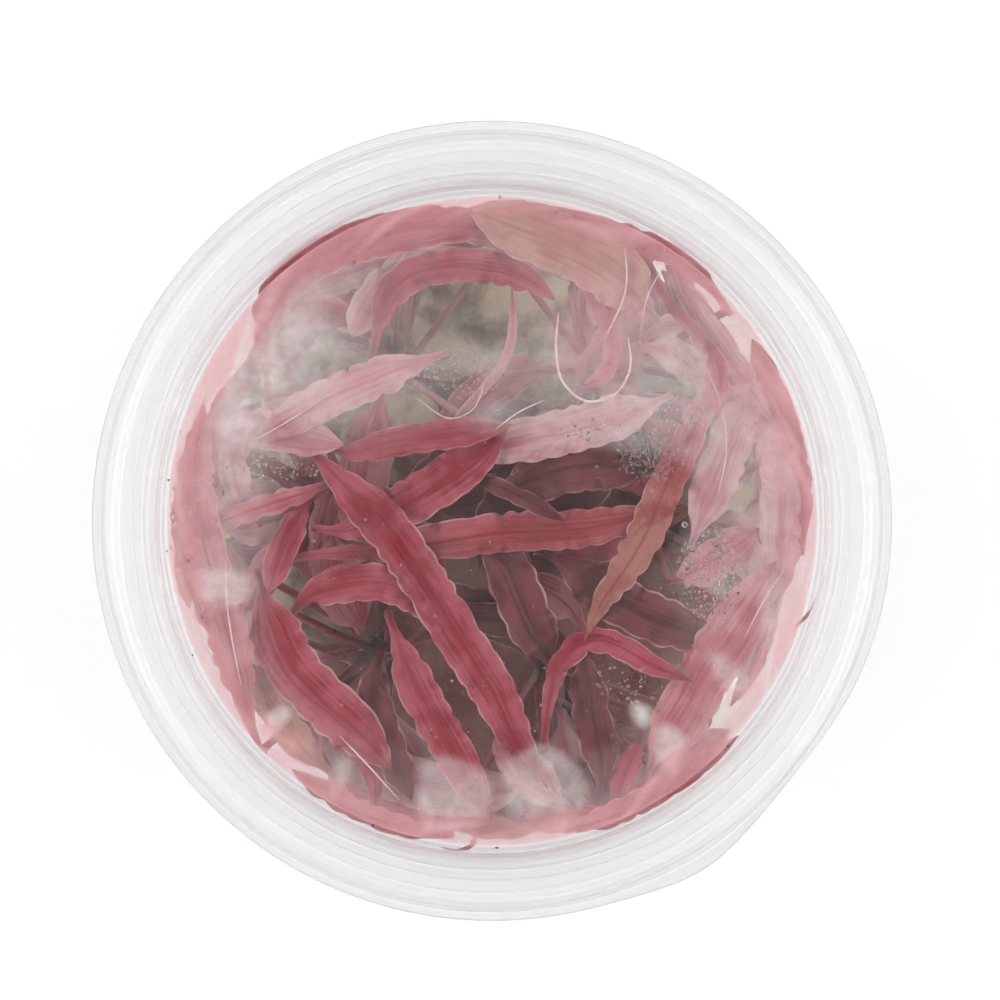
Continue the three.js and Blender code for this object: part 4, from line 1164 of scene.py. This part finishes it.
def fogCover(x, y):
    # little where a leaf touches the lid and more where it lies clear of it, by the heights that
    # the leaves reach; thicker towards the rim and in soft spots
    f = film
    n = f["blur"]
    row, column = fineIndex(x, y)
    total = np.pad(np.cumsum(np.cumsum(reached, 0), 1), ((1, 0), (1, 0)))
    blurred = (total[row + n + 1, column + n + 1] - total[row - n, column + n + 1]
        - total[row + n + 1, column - n] + total[row - n, column - n]) / (2 * n + 1) ** 2
    clear = smoothStep(*f["clearance"], lidSize["underside"] - blurred)
    share = f["wash"] + (f["rimWash"] - f["wash"]) * smoothStep(*f["rimSpan"], np.hypot(x, y))
    for cx, cy, halfX, halfY, change in fogSpots:
        share = share + change * np.exp(-((x - cx) / halfX) ** 2 - ((y - cy) / halfY) ** 2)
    cover = np.clip(share, *f["cover"]) * (f["touching"] + (1 - f["touching"]) * clear)
    bent = f["ragged"] * wobble(x * 0.8 + y * 0.5, 3)
    veil = np.max([strength * softShape(x + bent, y - bent, corners, f["fade"], 2 * f["corner"])
        for strength, corners in veils], 0)
    # painted reflection: even bright patches with soft sides, where lamps would mirror in the lid
    paintedGlare = np.max([strength * softShape(x, y, corners, f["fade"], f["corner"])
        for strength, corners in paintedGlares], 0)
    turn = np.arctan2(y, x)
    far = np.hypot(x, y) + f["edgeWave"] * wobble(turn * 9, 5)
    streaks = 1 + f["edgeStreak"] * wobble(turn * 17 + far * 1.4, 7, 4)
    edge = f["edgeTissue"] * streaks * smoothStep(*f["edgeSpan"], far)
    return dict(cover=cover, veil=np.maximum(veil, edge), paintedGlare=paintedGlare)


def makeLid():
    # the window's underside is ringed finely enough to carry the fog
    profile = lidProfile(lidSize)
    radii = np.linspace(0, film["radius"], film["rings"] + 1)[1:]
    rings = np.column_stack([radii, np.full(len(radii), lidSize["underside"])])
    points, faces = turnedShape(np.vstack([profile[:1], rings, profile[1:]]), lidSize["steps"],
        grow=flangeGrowth)
    under = points[:, 2] < lidSize["underside"] + 0.01
    under &= np.hypot(points[:, 0], points[:, 1]) < film["radius"] + 0.1
    values = {}
    for label, numbers in fogCover(points[under, 0], points[under, 1]).items():
        values[label] = np.zeros(len(points))
        values[label][under] = numbers
    kinds = np.array([under[face].all() for face in faces]).astype(int)
    newPiece("lid_clear", points, faces, [lidPlastic, foggedPlastic], "clear_plastic", ["lid"],
        kinds=kinds, values=values)


def underLid(run, radius, drop):
    # a fine tube along those points in plan, that far below the lid and narrowed at both ends
    s = threadSize
    at = roundPath([(x, y, lidSize["underside"] - drop) for x, y in run], s["steps"])
    step = np.arange(len(at))
    taper = np.minimum(1, np.minimum(step, step[::-1]) / s["taper"] + s["ends"])
    return tube(at, radius * taper, s["sides"])


def makeThreads():
    # fine pale edges of torn leaf, some of them painted highlights standing in for glints
    newPiece("torn_edges_and_glints", *joined([underLid(run, radius, threadSize["threadDrop"] + radius)
        for radius, run in tornEdgesAndGlints]), [threadPaint], "leaf_pale")


def makeTips():
    # two leaf tips pinched under the lid's ledge, past the edge of the window
    for name, (colour, radius, run) in caughtTips.items():
        points, faces = underLid(run, radius, threadSize["tipDrop"])
        newPiece(f"{name}_tip", points, faces, [leafPaints[colour]], f"leaf_{colour}",
            maps=np.full((len(points), 2), 0.4), values={"layered": np.zeros(len(points))})


def makeRoots():
    # thin tubes that leave a crown's side, dip and spread through the gel: a round section
    # carried along a falling, wandering path and narrowed to its end
    s = rootSize
    skins = []
    t = np.linspace(0, 1, s["rings"] + 1)
    for c, (cx, cy) in enumerate(crowns.values()):
        for k in range(s["count"]):
            heading = k * goldenTurn + c
            reach = s["reach"] * between((s["shortest"], 1), scattered(k, 0.618))
            bend = heading + s["wander"] * wobble(t * 3, k + 9 * c)
            far = s["crownEdge"] + reach * t
            at = np.stack([cx + far * np.cos(bend), cy + far * np.sin(bend),
                s["start"] - (s["start"] - s["depth"]) * t ** 0.6 * (0.6 + 0.4 * math.sin(k))], 1)
            away = np.hypot(at[:, 0], at[:, 1])
            at[:, :2] *= np.minimum(1, s["wallReach"] / away)[:, None]
            skins.append(tube(at, s["radius"] * (1 - s["narrowing"] * t), s["sides"]))
    newPiece("roots", *joined(skins), [rootPaint], "crown")


makeDrops()
makeSpecks()
makeLid()
makeThreads()
makeTips()
makeRoots()
print("drops, specks, mist and roots made")


# Room, light and camera

room = dict(floorSize=3, floorColour=(0.5, 0.5, 0.5), floorRoughness=0.9, floorGlow=1.0,
    wallLight=0.95, zenithLight=0.12, darkAbove=0.985, lightBelow=0.88)
panels = dict(size=0.5, shape=1.6, power=2.2, aside=0.64, forward=0.05, up=0.56, tilt=48)
view = dict(distance=0.7, height=0.05, sensor=36.0, width=0.125, across=0.001, upward=0.0026,
    nearest=0.01)

floorMesh = bpy.data.meshes.new("floor")
h = room["floorSize"] / 2
floorMesh.from_pydata([(-h, -h, 0), (h, -h, 0), (h, h, 0), (-h, h, 0)], [], [(0, 1, 2, 3)])
floor = bpy.data.objects.new("floor", floorMesh)
bpy.context.collection.objects.link(floor)
floorPaint = Paint("pale_floor")
floorMesh.materials.append(floorPaint.finish(floorPaint.node("BsdfPrincipled", {
    "Base Color": room["floorColour"], "Roughness": room["floorRoughness"],
    "Emission Color": room["floorColour"], "Emission Strength": room["floorGlow"]})))
floorPaint.material.cycles.emission_sampling = "NONE"

# the sky is light all round and dark straight above, so that the lid mirrors little
world = bpy.data.worlds.new("studio")
world.use_nodes = True
tree = world.node_tree
direction = tree.nodes.new("ShaderNodeTexCoord")
parts = tree.nodes.new("ShaderNodeSeparateXYZ")
height = tree.nodes.new("ShaderNodeMapRange")
background = tree.nodes["Background"]
background.inputs["Color"].default_value = (1, 1, 1, 1)
for label, key in {"From Min": "lightBelow", "From Max": "darkAbove", "To Min": "wallLight",
        "To Max": "zenithLight"}.items():
    height.inputs[label].default_value = room[key]
tree.links.new(direction.outputs["Generated"], parts.inputs[0])
tree.links.new(parts.outputs[2], height.inputs["Value"])
tree.links.new(height.outputs[0], background.inputs["Strength"])
bpy.context.scene.world = world

for name, way in {"left_panel": -1, "right_panel": 1}.items():
    light = bpy.data.lights.new(name, "AREA")
    light.shape = "RECTANGLE"
    light.size = panels["size"]
    light.size_y = panels["size"] * panels["shape"]
    light.energy = panels["power"]
    panel = bpy.data.objects.new(name, light)
    panel.location = (way * panels["aside"], panels["forward"], panels["up"])
    panel.rotation_euler = (0, way * math.radians(panels["tilt"]), 0)
    bpy.context.collection.objects.link(panel)

camera = bpy.data.cameras.new("camera")
camera.type = "PERSP"
camera.sensor_width = view["sensor"]
camera.lens = view["sensor"] * view["distance"] / view["width"]
camera.clip_start = view["nearest"]
eye = bpy.data.objects.new("camera", camera)
eye.location = (view["across"], view["upward"], view["distance"] + view["height"])
bpy.context.collection.objects.link(eye)
scene = bpy.context.scene
scene.camera = eye
scene.view_settings.view_transform = "Standard"
scene.cycles.use_light_tree = False
scene.cycles.max_bounces = 14
scene.cycles.diffuse_bounces = 2
scene.cycles.glossy_bounces = 8
scene.cycles.transmission_bounces = 14
scene.cycles.transparent_max_bounces = 10
print("room, lights and camera set")
